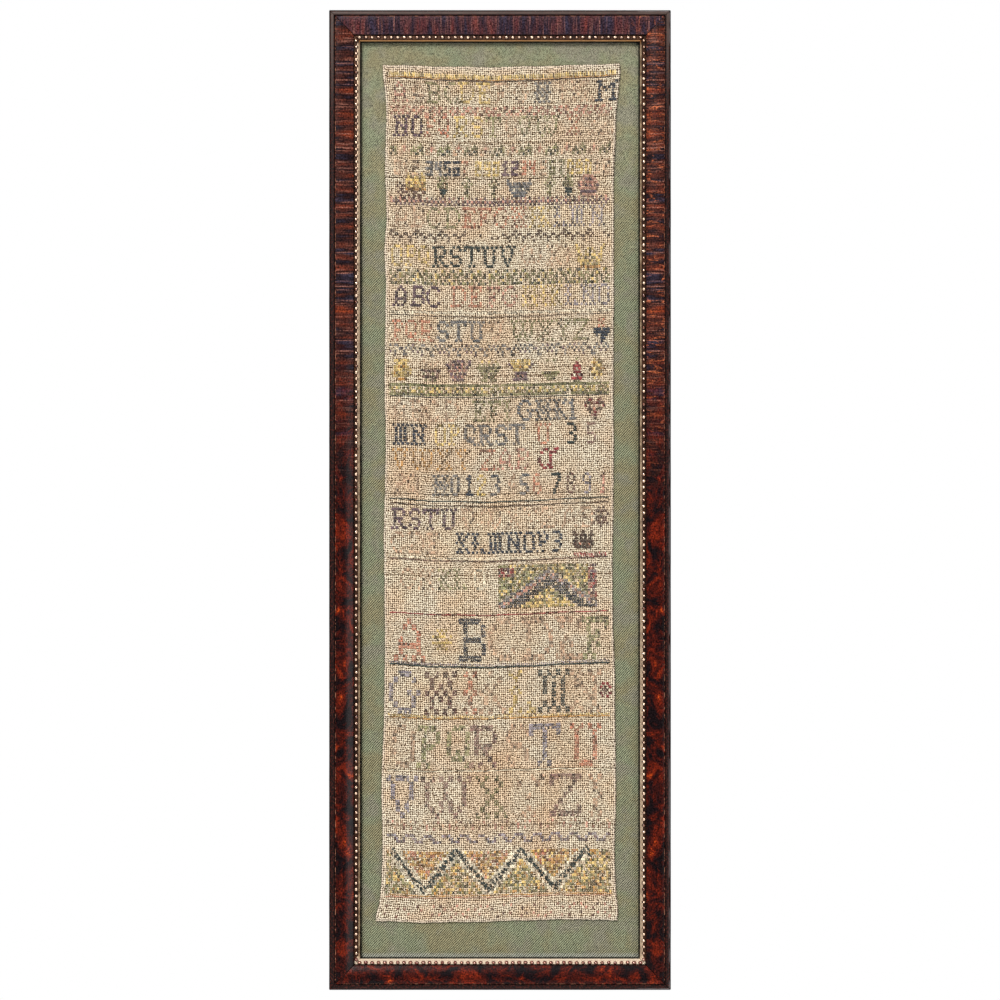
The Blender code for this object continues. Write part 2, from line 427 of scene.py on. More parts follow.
@dataclass(frozen=True)
class SilkFinish:
    """Faded embroidery silk of one dye, its tone a little different from stitch to stitch."""

    name: str
    dye: Colour
    fading: float
    faded: Colour = display(206, 180, 150)
    plies: float = 7.0

    def make(self) -> bpy.types.Material:
        """Builds the material.

        Returns:
            The material, which reads the attribute stitch_tone and the map named thread_run.
        """
        nodes = FinishNodes(self.name)
        tone = nodes.tree.nodes.new("ShaderNodeAttribute")
        tone.attribute_name = "stitch_tone"
        patch = nodes.cloud(nodes.place(), 55.0, 2.0)
        fade = nodes.span(nodes.ease(patch, 0.3, 0.7), self.fading * 0.3, self.fading)
        colour = nodes.blend(fade, self.dye, self.faded)
        shaded = nodes.blend(
            1.0, colour, nodes.grey(nodes.span(tone.outputs["Fac"], 0.18, 1.66)), "MULTIPLY"
        )
        run, round_it, _ = nodes.split(nodes.map_place("thread_run"))
        turns = nodes.maths("ADD", nodes.maths("MULTIPLY", run, self.plies), round_it)
        ply = nodes.maths("ABSOLUTE", nodes.maths("SINE", nodes.maths("MULTIPLY", turns, math.pi)))
        twisted = nodes.blend(0.5, shaded, nodes.grey(nodes.span(ply, 0.55, 1.35)), "MULTIPLY")
        nodes.set(Base_Color=twisted, Roughness=0.62, Sheen_Weight=0.2)
        nodes.shader.inputs["Specular IOR Level"].default_value = 0.3
        nodes.bump(ply, 0.06 * MM)
        return nodes.material


@dataclass(frozen=True)
class MountClothFinish:
    """Sage green twill with a few slubs, faded olive and grey in patches, with a painted reflection of the
    glass at the foot and a painted shadow along the sight edge.
    """

    name: str = "sage_mount_cloth"
    green: Colour = display(122, 125, 101)
    olive: Colour = display(127, 120, 93)
    grey: Colour = display(125, 121, 104)
    glass_glare: Colour = display(164, 164, 156)
    rim_shadow: Colour = display(24, 22, 15)
    rib_pitch: float = 1.98 * MM
    rib_rise: float = 1.08
    rim: tuple[float, float] = (114.8 * MM, 376.0 * MM)  # half of what shows of the cloth
    rim_width: float = 2.2 * MM
    sight_foot: float = 25.0 * MM  # the sight edge's height above the frame's lower edge
    glare_height: float = 5.0 * MM

    def make(self) -> bpy.types.Material:
        """Builds the material."""
        nodes = FinishNodes(self.name)
        place = nodes.place()
        x, _, z = nodes.split(place)
        slant = nodes.maths("SUBTRACT", x, nodes.maths("DIVIDE", z, self.rib_rise))
        wander = nodes.span(nodes.cloud(place, 240.0, 2.0), -0.7 * MM, 0.7 * MM)
        turns = nodes.maths("MULTIPLY", nodes.maths("ADD", slant, wander), math.pi / self.rib_pitch)
        rib = nodes.maths("ABSOLUTE", nodes.maths("SINE", turns))
        grain = nodes.cloud(place, 1150.0, 2.0, 0.9)
        slub = nodes.cloud(nodes.mapped(place, (0.10, 1.0, 1.0)), 520.0, 1.0)
        patches = nodes.cloud(place, 30.0, 3.0, 0.6)
        ground = nodes.blend(nodes.ease(patches, 0.38, 0.62), self.green, self.olive)
        dusty = nodes.cloud(nodes.mapped(place, (1, 1, 1), shift=(3.0, 0, 5.0)), 55.0, 3.0)
        ground = nodes.blend(nodes.ease(dusty, 0.46, 0.68), ground, self.grey)
        # Painted reflection: a pale grey strip just above the lower sight edge stands for the glass's
        # shine.
        foot = nodes.maths("ADD", z, -CAD_LOW.z - self.sight_foot)
        at_foot = nodes.maths("SUBTRACT", 1.0, nodes.ease(foot, 0.3 * self.glare_height, self.glare_height))
        ground = nodes.blend(nodes.maths("MULTIPLY", at_foot, 0.6), ground, self.glass_glare)
        low_down = nodes.ease(nodes.maths("MULTIPLY", z, -1.0), -0.38, -0.12)
        ribbing = nodes.maths("SUBTRACT", rib, 0.5)
        ribbing = nodes.maths("MULTIPLY", ribbing, nodes.span(low_down, 0.15, 1.9))
        relief = nodes.maths("ADD", ribbing, nodes.span(grain, -0.85, 1.5))
        relief = nodes.maths("ADD", relief, nodes.span(low_down, 0.42, 0.14))
        thick = nodes.maths("MULTIPLY", nodes.ease(slub, 0.70, 0.80), 0.35)
        relief = nodes.maths("ADD", relief, thick)
        tone = nodes.grey(nodes.span(nodes.ease(relief, 0.12, 1.16), 0.16, 1.88))
        cloth = nodes.blend(1.0, ground, tone, "MULTIPLY")
        # Painted shadow: a near-black strip along the sight edge, where the rebate shades the cloth.
        half_width, half_height = self.rim
        from_side = nodes.maths("SUBTRACT", half_width, nodes.maths("ABSOLUTE", x))
        from_end = nodes.maths("SUBTRACT", half_height, nodes.maths("ABSOLUTE", z))
        from_rim = nodes.maths("MINIMUM", from_side, from_end)
        clear = nodes.ease(from_rim, 0.4 * self.rim_width, self.rim_width)
        under_rim = nodes.maths("SUBTRACT", 1.0, clear)
        cloth = nodes.blend(nodes.maths("MULTIPLY", under_rim, 0.97), cloth, self.rim_shadow)
        nodes.set(Base_Color=cloth, Roughness=0.92)
        nodes.shader.inputs["Specular IOR Level"].default_value = 0.12
        nodes.bump(relief, 0.3 * MM, 0.8)
        return nodes.material


@dataclass(frozen=True)
class TortoiseshellFinish:
    """Polished tortoiseshell: streaked across the rail above, clouded red and black below, with painted
    sheen in blue-grey blocks, light streaks and a veil over the top rail, and a painted highlight in orange
    ripples on the right rail.
    """

    name: str = "tortoiseshell_veneer"
    black: Colour = display(17, 10, 12)
    deep_red: Colour = display(52, 15, 10)
    red: Colour = display(92, 26, 12)
    amber: Colour = display(152, 58, 18)
    slate: Colour = display(42, 37, 50)
    dusk: Colour = display(28, 16, 18)
    brown: Colour = display(62, 31, 25)
    dull_red: Colour = display(84, 35, 23)
    tan_red: Colour = display(120, 50, 26)
    top_sheen: Colour = display(66, 54, 70)
    streak_sheen: Colour = display(138, 90, 76)
    ripple_highlight: Colour = display(196, 104, 62)
    arris: Colour = display(178, 122, 96)
    arris_at: float = 5.55 * MM
    streaked_above: float = 0.16
    clouded_below: float = -0.02

    def make(self) -> bpy.types.Material:
        """Builds the material."""
        nodes = FinishNodes(self.name)
        along, inward = nodes.on_moulding()
        x, _, z = nodes.split(nodes.place())
        flat = nodes.join(along, inward)
        blocks = nodes.cloud(nodes.mapped(flat, (1.0, 0.16, 1.0)), 120.0, 3.0, 0.6)
        # The slate stop is painted sheen: blue-grey blocks among the shell's own browns and reds.
        streaked = nodes.ramp(
            blocks,
            (0.36, self.slate),
            (0.45, self.dusk),
            (0.53, self.brown),
            (0.62, self.dull_red),
            (0.73, self.tan_red),
        )
        lines = nodes.cloud(nodes.mapped(flat, (1.0, 0.035, 1.0)), 760.0, 2.0, 0.7)
        # Painted sheen: light streaks across the rail, laid along its fine scratch lines.
        streaked = nodes.blend(
            nodes.maths("MULTIPLY", nodes.ease(lines, 0.53, 0.72), 0.75), streaked, self.streak_sheen
        )
        # Painted highlight: orange ripples over the right rail, above.
        ripples = nodes.cloud(nodes.mapped(flat, (1.0, 0.24, 1.0)), 420.0, 2.0, 0.6, 1.0)
        on_right = nodes.ease(x, 0.1, 0.12)
        rippled = nodes.maths("MULTIPLY", on_right, nodes.ease(ripples, 0.54, 0.72))
        streaked = nodes.blend(nodes.maths("MULTIPLY", rippled, 0.55), streaked, self.ripple_highlight)
        dark_lines = nodes.ease(nodes.maths("SUBTRACT", 1.0, lines), 0.54, 0.72)
        streaked = nodes.blend(dark_lines, streaked, self.black)
        clouds = nodes.cloud(nodes.mapped(flat, (1.0, 1.15, 1.0)), 66.0, 5.0, 0.68, 0.7)
        clouded = nodes.ramp(
            clouds,
            (0.43, self.black),
            (0.52, self.deep_red),
            (0.62, self.red),
            (0.71, self.amber),
        )
        # Painted sheen: a grey-violet veil over the top rail.
        past_mitre = nodes.maths("SUBTRACT", z, nodes.maths("ABSOLUTE", x))
        mitre = CAD_HIGH.z - CAD_HIGH.x
        on_top = nodes.ease(past_mitre, mitre, mitre + 0.5 * MM)
        streaked = nodes.blend(nodes.maths("MULTIPLY", on_top, 0.25), streaked, self.top_sheen)
        low = nodes.ease(nodes.maths("MULTIPLY", z, -1.0), -self.streaked_above, -self.clouded_below)
        shell = nodes.blend(low, streaked, clouded)
        speckle = nodes.ease(nodes.cloud(flat, 720.0, 3.0, 0.8), 0.36, 0.64)
        shell = nodes.blend(1.0, shell, nodes.grey(nodes.span(speckle, 0.18, 1.95)), "MULTIPLY")
        chips = nodes.ease(nodes.cloud(flat, 210.0, 3.0, 0.7), 0.46, 0.62)
        worn = nodes.maths(
            "SUBTRACT", 1.0, nodes.ease(inward, self.arris_at - 0.3 * MM, self.arris_at)
        )
        rubbed_and_sheen = nodes.maths("MULTIPLY", worn, nodes.span(chips, 0.0, 1.0))
        nodes.set(Base_Color=nodes.blend(rubbed_and_sheen, shell, self.arris))
        scuffs = nodes.cloud(nodes.mapped(flat, (0.3, 1.0, 1.0)), 900.0, 3.0)
        nodes.set(Roughness=nodes.span(scuffs, 0.10, 0.32))
        nodes.shader.inputs["Specular IOR Level"].default_value = 0.1
        nodes.bump(nodes.maths("ADD", scuffs, nodes.span(lines, 0.0, 0.6)), 0.05 * MM)
        return nodes.material


@dataclass(frozen=True)
class EbonisedFinish:
    """Black polish on wood, with a painted grey-brown sheen along the ridge, patchy and strongest at the
    top of the frame, a painted highlight line near the right rail's outer edge and painted shade on the
    outermost edge; bare wood on the back.
    """

    name: str = "ebonised_polish"
    black: Colour = display(20, 11, 10)
    russet: Colour = display(72, 32, 26)
    rubbed_and_sheen: Colour = display(92, 78, 72)
    edge_highlight: Colour = display(128, 118, 118)
    outer_edge_shade: Colour = display(10, 7, 8)
    bare: Colour = display(132, 100, 68)
    ridge_from: float = 1.0 * MM
    ridge_to: float = 4.0 * MM
    edge_from: float = 1.0 * MM
    edge_to: float = 1.7 * MM
    back_depth: float = 0.15 * MM

    def make(self) -> bpy.types.Material:
        """Builds the material."""
        nodes = FinishNodes(self.name)
        along, inward = nodes.on_moulding()
        flat = nodes.join(along, inward)
        x, depth, z = nodes.split(nodes.place())
        grain = nodes.cloud(nodes.mapped(flat, (0.12, 1.0, 1.0)), 900.0, 3.0)
        speckle = nodes.ease(nodes.cloud(flat, 620.0, 3.0, 0.7), 0.46, 0.64)
        polish = nodes.blend(nodes.maths("MULTIPLY", speckle, 0.8), self.black, self.russet)
        # Painted sheen: a grey-brown band along the rounded ridge, in patches and strongest at the top of
        # the frame.
        on_ridge = self.strip(nodes, inward, self.ridge_from, self.ridge_to, 0.8 * MM)
        wear_and_sheen_patches = nodes.span(nodes.cloud(flat, 70.0, 4.0, 0.65), 0.25, 1.0)
        sheen_toward_top = nodes.span(nodes.ease(z, 0.30, 0.395), 0.02, 1.0)
        ridge_sheen = nodes.maths("MULTIPLY", nodes.maths("MULTIPLY", on_ridge, wear_and_sheen_patches), sheen_toward_top)
        front = nodes.blend(ridge_sheen, polish, self.rubbed_and_sheen)
        # Painted highlight: a broken grey line near the right rail's outer edge.
        on_edge = self.strip(nodes, inward, self.edge_from, self.edge_to, 0.3 * MM)
        broken = nodes.ease(nodes.cloud(nodes.mapped(flat, (0.2, 1.0, 1.0)), 300.0, 2.0), 0.40, 0.58)
        edge_highlight_mask = nodes.maths("MULTIPLY", on_edge, nodes.maths("MULTIPLY", broken, nodes.ease(x, 0.1, 0.12)))
        front = nodes.blend(nodes.maths("MULTIPLY", edge_highlight_mask, 0.75), front, self.edge_highlight)
        # Painted shade: the outermost millimetre, where the shoulder falls away, is painted near black.
        at_rim = nodes.maths("SUBTRACT", 1.0, nodes.ease(inward, 0.5 * MM, self.edge_from))
        front = nodes.blend(nodes.maths("MULTIPLY", at_rim, 0.8), front, self.outer_edge_shade)
        wood = nodes.blend(
            1.0, self.bare, nodes.grey(nodes.span(nodes.ease(grain, 0.3, 0.7), 0.6, 1.15)), "MULTIPLY"
        )
        at_back = nodes.ease(depth, -2 * self.back_depth, -self.back_depth)
        nodes.set(Base_Color=nodes.blend(at_back, front, wood))
        dull = nodes.maths("MAXIMUM", nodes.span(grain, 0.20, 0.42), nodes.span(at_back, 0.0, 0.8))
        nodes.set(Roughness=dull)
        nodes.shader.inputs["Specular IOR Level"].default_value = 0.12
        nodes.bump(grain, 0.06 * MM)
        return nodes.material

    def strip(
        self, nodes: FinishNodes, inward: Feed, first: float, last: float, soft: float
    ) -> bpy.types.NodeSocket:
        """A share that is 1 between two distances inward and fades softly at both."""
        inner = nodes.maths("SUBTRACT", 1.0, nodes.ease(inward, last - soft, last))
        return nodes.maths("MULTIPLY", nodes.ease(inward, first, first + soft), inner)


@dataclass(frozen=True)
class GiltFinish:
    """Old gilding on composition: bright on the fillet and dark in the hollows, with painted light on the
    foot fillet, over the foot's channel and on parts of the side fillets, and painted shade with a painted
    highlight line on the top fillet.
    """

    name: str = "aged_gilding"
    bright: Colour = display(240, 208, 172)
    cream: Colour = display(226, 204, 178)
    bronze: Colour = display(112, 70, 42)
    umber: Colour = display(78, 42, 20)
    amber: Colour = display(240, 176, 112)
    dirt: Colour = display(34, 18, 10)
    fillet_from: float = 23.3 * MM
    foot_from: float = 20.9 * MM
    line_from: float = 24.25 * MM
    end_from: float = 372.0 * MM  # how far above or below the middle the top and foot slips lie
    corner_reach: float = 0.02  # in square metres, across times up

    def make(self) -> bpy.types.Material:
        """Builds the material."""
        nodes = FinishNodes(self.name)
        along, inward = nodes.on_moulding()
        x, _, z = nodes.split(nodes.place())
        flat = nodes.join(along, inward)
        at_top = nodes.ease(z, self.end_from, self.end_from + 3 * MM)
        corner = nodes.ease(nodes.maths("MULTIPLY", x, z), -self.corner_reach, self.corner_reach)
        at_foot = nodes.ease(nodes.maths("MULTIPLY", z, -1.0), self.end_from, self.end_from + 3 * MM)
        # Painted light: on the foot the fillet's colour reaches over the channel; at the top and in the
        # upper right and lower left it is narrower, on the other sides a little wider.
        wider = nodes.span(at_foot, 0.0, self.fillet_from - self.foot_from)
        narrower = nodes.span(nodes.maths("MAXIMUM", corner, at_top), 0.3 * MM, -0.6 * MM)
        aside = nodes.maths("SUBTRACT", 1.0, at_foot)
        narrower = nodes.maths("MULTIPLY", narrower, aside)
        proud = nodes.maths("ADD", inward, nodes.maths("ADD", wider, narrower))
        fillet = nodes.ease(proud, self.fillet_from - 0.3 * MM, self.fillet_from + 0.2 * MM)
        patches = nodes.ease(nodes.cloud(flat, 130.0, 4.0, 0.65), 0.38, 0.62)
        channel = nodes.blend(nodes.maths("MULTIPLY", patches, 0.35), self.dirt, self.bronze)
        gold = nodes.blend(nodes.span(patches, 0.25, 0.9), self.bronze, self.bright)
        # Painted shade on the top fillet: umber, with a thin amber painted highlight line near the sight
        # edge.
        thin_line = nodes.ease(inward, self.line_from, self.line_from + 0.3 * MM)
        top_shade_and_highlight = nodes.blend(nodes.maths("MULTIPLY", thin_line, 0.75), self.umber, self.amber)
        gold = nodes.blend(nodes.span(at_top, 0.0, 0.92), gold, top_shade_and_highlight)
        # Painted light: cream on the foot fillet and on the side fillets away from the upper right and
        # lower left.
        lit_side = nodes.maths("MULTIPLY", nodes.maths("SUBTRACT", 1.0, corner), 0.42)
        lit_side = nodes.maths("MULTIPLY", lit_side, nodes.maths("SUBTRACT", 1.0, at_top))
        lit = nodes.maths("MAXIMUM", at_foot, lit_side)
        gold = nodes.blend(lit, gold, self.cream)
        gold = nodes.blend(fillet, channel, gold)
        grime = nodes.ease(nodes.cloud(flat, 520.0, 3.0, 0.7), 0.58, 0.76)
        grime = nodes.maths("MULTIPLY", grime, nodes.span(at_foot, 1.0, 0.3))
        nodes.set(Base_Color=nodes.blend(grime, gold, self.dirt))
        nodes.set(Metallic=nodes.span(nodes.maths("MULTIPLY", lit, fillet), 0.75, 0.35))
        nodes.set(Roughness=nodes.span(nodes.cloud(flat, 700.0, 3.0), 0.22, 0.52))
        nodes.bump(nodes.cloud(flat, 800.0, 3.0), 0.05 * MM)
        return nodes.material


@dataclass(frozen=True)
class BeadFinish:
    """Gilt pearls: a bright crown on each, partly rubbed gilt and partly a painted highlight, dark bronze
    down in the channel between them, and painted shade over the foot row.
    """

    name: str = "gilt_pearls"
    bright: Colour = display(236, 202, 172)
    bronze: Colour = display(104, 54, 32)
    dirt: Colour = display(30, 13, 8)
    brown: Colour = display(122, 62, 48)
    channel: float = 14.7 * MM
    crown: float = 16.3 * MM
    foot_from: float = 372.0 * MM  # how far below the middle the foot row lies

    def make(self) -> bpy.types.Material:
        """Builds the material."""
        nodes = FinishNodes(self.name)
        place = nodes.place()
        _, depth, z = nodes.split(place)
        # Painted highlight: the most forward part of each pearl is painted bright, partly rubbed gilt and
        # partly highlight.
        raised = nodes.ease(nodes.maths("MULTIPLY", depth, -1.0), self.channel, self.crown)
        worn = nodes.maths("ADD", raised, nodes.span(nodes.cloud(place, 260.0, 2.0), -0.3, 0.3))
        colour = nodes.ramp(worn, (0.36, self.dirt), (0.86, self.bronze), (1.0, self.bright))
        # Painted shade: the foot row is painted an even reddish brown.
        below = nodes.maths("MULTIPLY", z, -1.0)
        at_foot = nodes.ease(below, self.foot_from, self.foot_from + 1 * MM)
        colour = nodes.blend(nodes.maths("MULTIPLY", at_foot, 0.8), colour, self.brown)
        nodes.set(Base_Color=colour, Metallic=0.5, Coat_Weight=1.0, Coat_Roughness=0.06)
        nodes.set(Roughness=nodes.span(nodes.cloud(place, 900.0, 2.0), 0.16, 0.32))
        nodes.bump(nodes.cloud(place, 1300.0, 2.0), 0.03 * MM)
        return nodes.material


@dataclass(frozen=True)
class GlassFinish:
    """Clear picture glass, which shows only as a faint shine."""

    name: str = "clear_picture_glass"
    tint: Colour = (0.963, 0.967, 0.962)
    shine: Colour = (0.55, 0.56, 0.56)
    least_shine: float = 0.017  # share that is mirrored face on

    def make(self) -> bpy.types.Material:
        """Builds the material: a clear shader with a mirror mixed in by the angle of view."""
        nodes = FinishNodes(self.name)
        tree = nodes.tree
        clear = tree.nodes.new("ShaderNodeBsdfTransparent")
        nodes.feed(clear.inputs["Color"], self.tint)
        mirror = tree.nodes.new("ShaderNodeBsdfGlossy")
        nodes.feed(mirror.inputs["Color"], self.shine)
        ripple = nodes.cloud(nodes.place(), 12.0, 1.0)
        nodes.feed(mirror.inputs["Roughness"], nodes.span(ripple, 0.02, 0.05))
        tilt = tree.nodes.new("ShaderNodeLayerWeight")
        graze = nodes.maths("POWER", tilt.outputs["Facing"], 5.0)
        mixed = tree.nodes.new("ShaderNodeMixShader")
        nodes.feed(mixed.inputs[0], nodes.span(graze, self.least_shine, 1.0))
        nodes.feed(mixed.inputs[1], clear.outputs[0])
        nodes.feed(mixed.inputs[2], mirror.outputs[0])
        nodes.feed(tree.nodes["Material Output"].inputs["Surface"], mixed.outputs[0])
        tree.nodes.remove(nodes.shader)
        return nodes.material


@dataclass(frozen=True)
class BoardFinish:
    """Card or bare board with a fine grain that runs upright."""

    name: str
    light: Colour
    dark: Colour
    stretch: float
    grain: float = 260.0

    def make(self) -> bpy.types.Material:
        """Builds the material."""
        nodes = FinishNodes(self.name)
        place = nodes.place()
        streaks = nodes.cloud(nodes.mapped(place, (1.0, 1.0, self.stretch)), self.grain, 4.0, 0.6)
        broad = nodes.cloud(nodes.mapped(place, (1.0, 1.0, self.stretch)), 22.0, 3.0, 0.6, 0.6)
        share = nodes.maths("ADD", nodes.span(streaks, 0.0, 0.5), nodes.span(broad, 0.0, 0.5))
        nodes.set(Base_Color=nodes.ramp(share, (0.36, self.dark), (0.62, self.light)))
        nodes.set(Roughness=nodes.span(streaks, 0.6, 0.9))
        nodes.bump(streaks, 0.12 * MM)
        return nodes.material


# ---------------------------------------------------------------------------------------------
# Frame
# ---------------------------------------------------------------------------------------------


class Side(Enum):
    """The four lengths of each moulding."""

    LEFT = "left"
    RIGHT = "right"
    TOP = "top"
    BOTTOM = "bottom"

    @property
    def upright(self) -> bool:
        """Whether this length runs up and down."""
        return self in (Side.LEFT, Side.RIGHT)

    def place(self, along: float, inward: float, forward: float) -> Vector:
        """A point on this length.

        Args:
            along: distance from the middle of the length, up or to the right.
            inward: distance from the outer edge of the frame.
            forward: distance from the back of the frame.

        Returns:
            The point.
        """
        if self.upright:
            x = CAD_LOW.x + inward if self is Side.LEFT else CAD_HIGH.x - inward
            return Vector((x, -forward, along))
        z = CAD_HIGH.z - inward if self is Side.TOP else CAD_LOW.z + inward
        return Vector((along, -forward, z))

    def reach(self, inward: float) -> float:
        """Half of this length's run between its mitres, at a distance inward."""
        half = CAD_HIGH.z if self.upright else CAD_HIGH.x
        return half - inward


@dataclass
class Moulding:
    """Four mitred lengths of one section, with softened corners and a slight hand-worked wave."""

    kind: str
    called: str
    slot: str
    finish: bpy.types.Material
    rounding: float = 0.22 * MM
    wave: float = 0.22 * MM
    wave_length: float = 28 * MM
    cut_spacing: float = 11 * MM
    corner_angle: float = math.radians(24)
    smooth_angle: float = math.radians(40)

    def build(self) -> list[bpy.types.Object]:
        """Makes all four lengths.

        Returns:
            The finished pieces.
        """
        return [self.build_length(side) for side in Side]

    def build_length(self, side: Side) -> bpy.types.Object:
        """Makes one length from a copy of its plain shape.

        Args:
            side: which length.

        Returns:
            The finished piece.
        """
        node = f"{self.kind}_{side.value}"
        name = f"{self.called}_{side.value}"
        piece = bpy.data.objects.new(name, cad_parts[node].data.copy())
        bpy.context.scene.collection.objects.link(piece)
        piece.data.name = name
        make_active(piece)
        bpy.ops.object.mode_set(mode="EDIT")
        bpy.ops.mesh.select_all(action="SELECT")
        bpy.ops.mesh.remove_doubles(threshold=0.01 * MM)
        bpy.ops.mesh.dissolve_limited(angle_limit=math.radians(0.5))
        self.soften_corners()
        self.cut_across(side)
        bpy.ops.object.mode_set(mode="OBJECT")
        self.make_uneven(piece)
        piece.data.materials.clear()
        piece.data.materials.append(self.finish)
        bpy.ops.object.shade_smooth_by_angle(angle=self.smooth_angle)
        even = piece.modifiers.new("even_shading", "WEIGHTED_NORMAL")
        even.keep_sharp = True
        bpy.ops.object.modifier_apply(modifier=even.name)
        own_piece(piece, [node])
        return piece

    def soften_corners(self) -> None:
        """Rounds the long corners and the mitre's edges of the piece in edit mode."""
        bpy.ops.mesh.select_all(action="DESELECT")
        bpy.ops.mesh.edges_select_sharp(sharpness=self.corner_angle)
        bpy.ops.mesh.bevel(
            offset=self.rounding, segments=2, profile=0.5, affect="EDGES", clamp_overlap=True
        )

    def cut_across(self, side: Side) -> None:
        """Divides the piece in edit mode along its run, so that it can wave.

        Args:
            side: which length it is.
        """
        half = side.reach(0.0) - 26 * MM
        direction = (0, 0, 1) if side.upright else (1, 0, 0)
        for along in side_by_side(-half, half, round(2 * half / self.cut_spacing)):
            bpy.ops.mesh.select_all(action="SELECT")
            bpy.ops.mesh.bisect(
                plane_co=tuple(float(along) * d for d in direction), plane_no=direction
            )

    def make_uneven(self, piece: bpy.types.Object) -> None:
        """Gives the surface a slow, slight wave.

        Args:
            piece: the length, in object mode and active.
        """
        swell = bpy.data.textures.new(f"{piece.name}_swell", "CLOUDS")
        swell.noise_scale = self.wave_length
        wave = piece.modifiers.new("wave", "DISPLACE")
        wave.texture = swell
        wave.texture_coords = "LOCAL"
        wave.strength = self.wave
        wave.mid_level = 0.5
        bpy.ops.object.modifier_apply(modifier=wave.name)


@dataclass
class PearlRow:
    """Rows of gilt pearls pressed in composition, one down the channel of each slip."""

    finish: bpy.types.Material
    inward: float = 22.0 * MM
    floor: float = 14.6 * MM
    pitch: float = 5.2 * MM
    half_across: float = 1.55 * MM
    half_along: float = 1.8 * MM
    height: float = 1.75 * MM
    unevenness: float = 0.07
    segments: int = 10
    rings: int = 7
    seed: int = 5

    def build(self) -> list[bpy.types.Object]:
        """Makes the four rows.

        Returns:
            The finished pieces.
        """
        corners, faces = self.one_pearl()
        random = np.random.default_rng(self.seed)
        rows = []
        for side in Side:
            reach = side.reach(self.inward)
            count = round(2 * reach / self.pitch)
            step = 2 * reach / count
            run = corners if side.upright else corners[:, [2, 1, 0]] * (1, 1, -1)
            points, polygons = [], []
            for index in range(count):
                middle = side.place(-reach + (index + 0.5) * step, self.inward, self.floor)
                size = 1 + random.normal(0, self.unevenness, 3)
                stray = random.normal(0, 0.08 * MM, 3) * (1, 0, 1)
                points.append(run * size + np.array(middle) + stray)
                polygons.extend(tuple(i + index * len(run) for i in face) for face in faces)
            mesh = bpy.data.meshes.new(f"pearls_{side.value}")
            mesh.from_pydata(np.concatenate(points).tolist(), [], polygons)
            mesh.materials.append(self.finish)
            piece = bpy.data.objects.new(mesh.name, mesh)
            bpy.context.scene.collection.objects.link(piece)
            mesh.shade_smooth()
            own_piece(piece)
            rows.append(piece)
        return rows

    def one_pearl(self) -> tuple[np.ndarray, list[tuple[int, ...]]]:
        """Models one pearl at the origin, running along Z, sunk a little in the channel's floor.

        Returns:
            Its corners and its faces.
        """
        deselect_all()
        bpy.ops.mesh.primitive_uv_sphere_add(
            segments=self.segments, ring_count=self.rings, radius=1.0, location=(0, 0, 0)
        )
        pearl = bpy.context.object
        bpy.ops.object.mode_set(mode="EDIT")
        bpy.ops.mesh.select_all(action="SELECT")
        bpy.ops.transform.resize(
            value=(self.half_across, self.height, self.half_along), center_override=(0, 0, 0)
        )
        bpy.ops.mesh.bisect(
            plane_co=(0, 0.15 * MM, 0), plane_no=(0, 1, 0), use_fill=True, clear_outer=True
        )
        bpy.ops.object.mode_set(mode="OBJECT")
        mesh = pearl.data
        corners = np.array([vertex.co for vertex in mesh.vertices])
        faces = [tuple(polygon.vertices) for polygon in mesh.polygons]
        bpy.data.objects.remove(pearl, do_unlink=True)
        return corners, faces


# ---------------------------------------------------------------------------------------------
# Cloths
# ---------------------------------------------------------------------------------------------


def woven_sheet(
    name: str,
    points: np.ndarray,
    thickness: float,
    finish: bpy.types.Material,
    grid_name: str = "stitch_grid",
) -> bpy.types.Object:
    """Makes a sheet of cloth from its front's points.

    Args:
        name: the piece's name.
        points: rows of points from the top down, each from left to right.
        thickness: how thick the cloth is.
        finish: its material.
        grid_name: the map that counts columns and rows on it.

    Returns:
        The sheet, with its thickness behind the points.
    """
    rows, columns = points.shape[:2]
    corner = np.arange(rows * columns).reshape(rows, columns)
    faces = np.stack(
        [corner[:-1, :-1], corner[1:, :-1], corner[1:, 1:], corner[:-1, 1:]], axis=-1
    ).reshape(-1, 4)
    mesh = bpy.data.meshes.new(name)
    mesh.from_pydata(points.reshape(-1, 3).tolist(), [], faces.tolist())
    down, across = np.divmod(faces.reshape(-1), columns)
    grid = mesh.uv_layers.new(name=grid_name)
    grid.data.foreach_set("uv", np.stack([across, down], axis=-1).astype(np.float32).ravel())
    mesh.materials.append(finish)
    mesh.shade_smooth()
    piece = bpy.data.objects.new(name, mesh)
    bpy.context.scene.collection.objects.link(piece)
    make_active(piece)
    depth = piece.modifiers.new("thickness", "SOLIDIFY")
    depth.thickness = thickness
    depth.offset = -1.0
    depth.use_even_offset = False
    bpy.ops.object.modifier_apply(modifier=depth.name)
    return piece


def swell(x: np.ndarray, z: np.ndarray, length: float, turn: float) -> np.ndarray:
    """A soft irregular wave over a cloth.

    Args:
        x: places across.
        z: places up.
        length: the longest wave's length.
        turn: a number that picks the wave.

    Returns:
        The wave at each place, -1 to 1.
    """
    rate = 2 * math.pi / length
    first = np.sin(rate * (x + 0.35 * z) + turn) * np.cos(rate * 0.8 * z + 2.1 * turn)
    second = np.sin(rate * 2.3 * (0.6 * x - z) + 3.7 * turn)
    third = np.cos(rate * 4.1 * (x + 0.9 * z) + 1.3 * turn)
    return (first + 0.5 * second + 0.28 * third) / 1.78


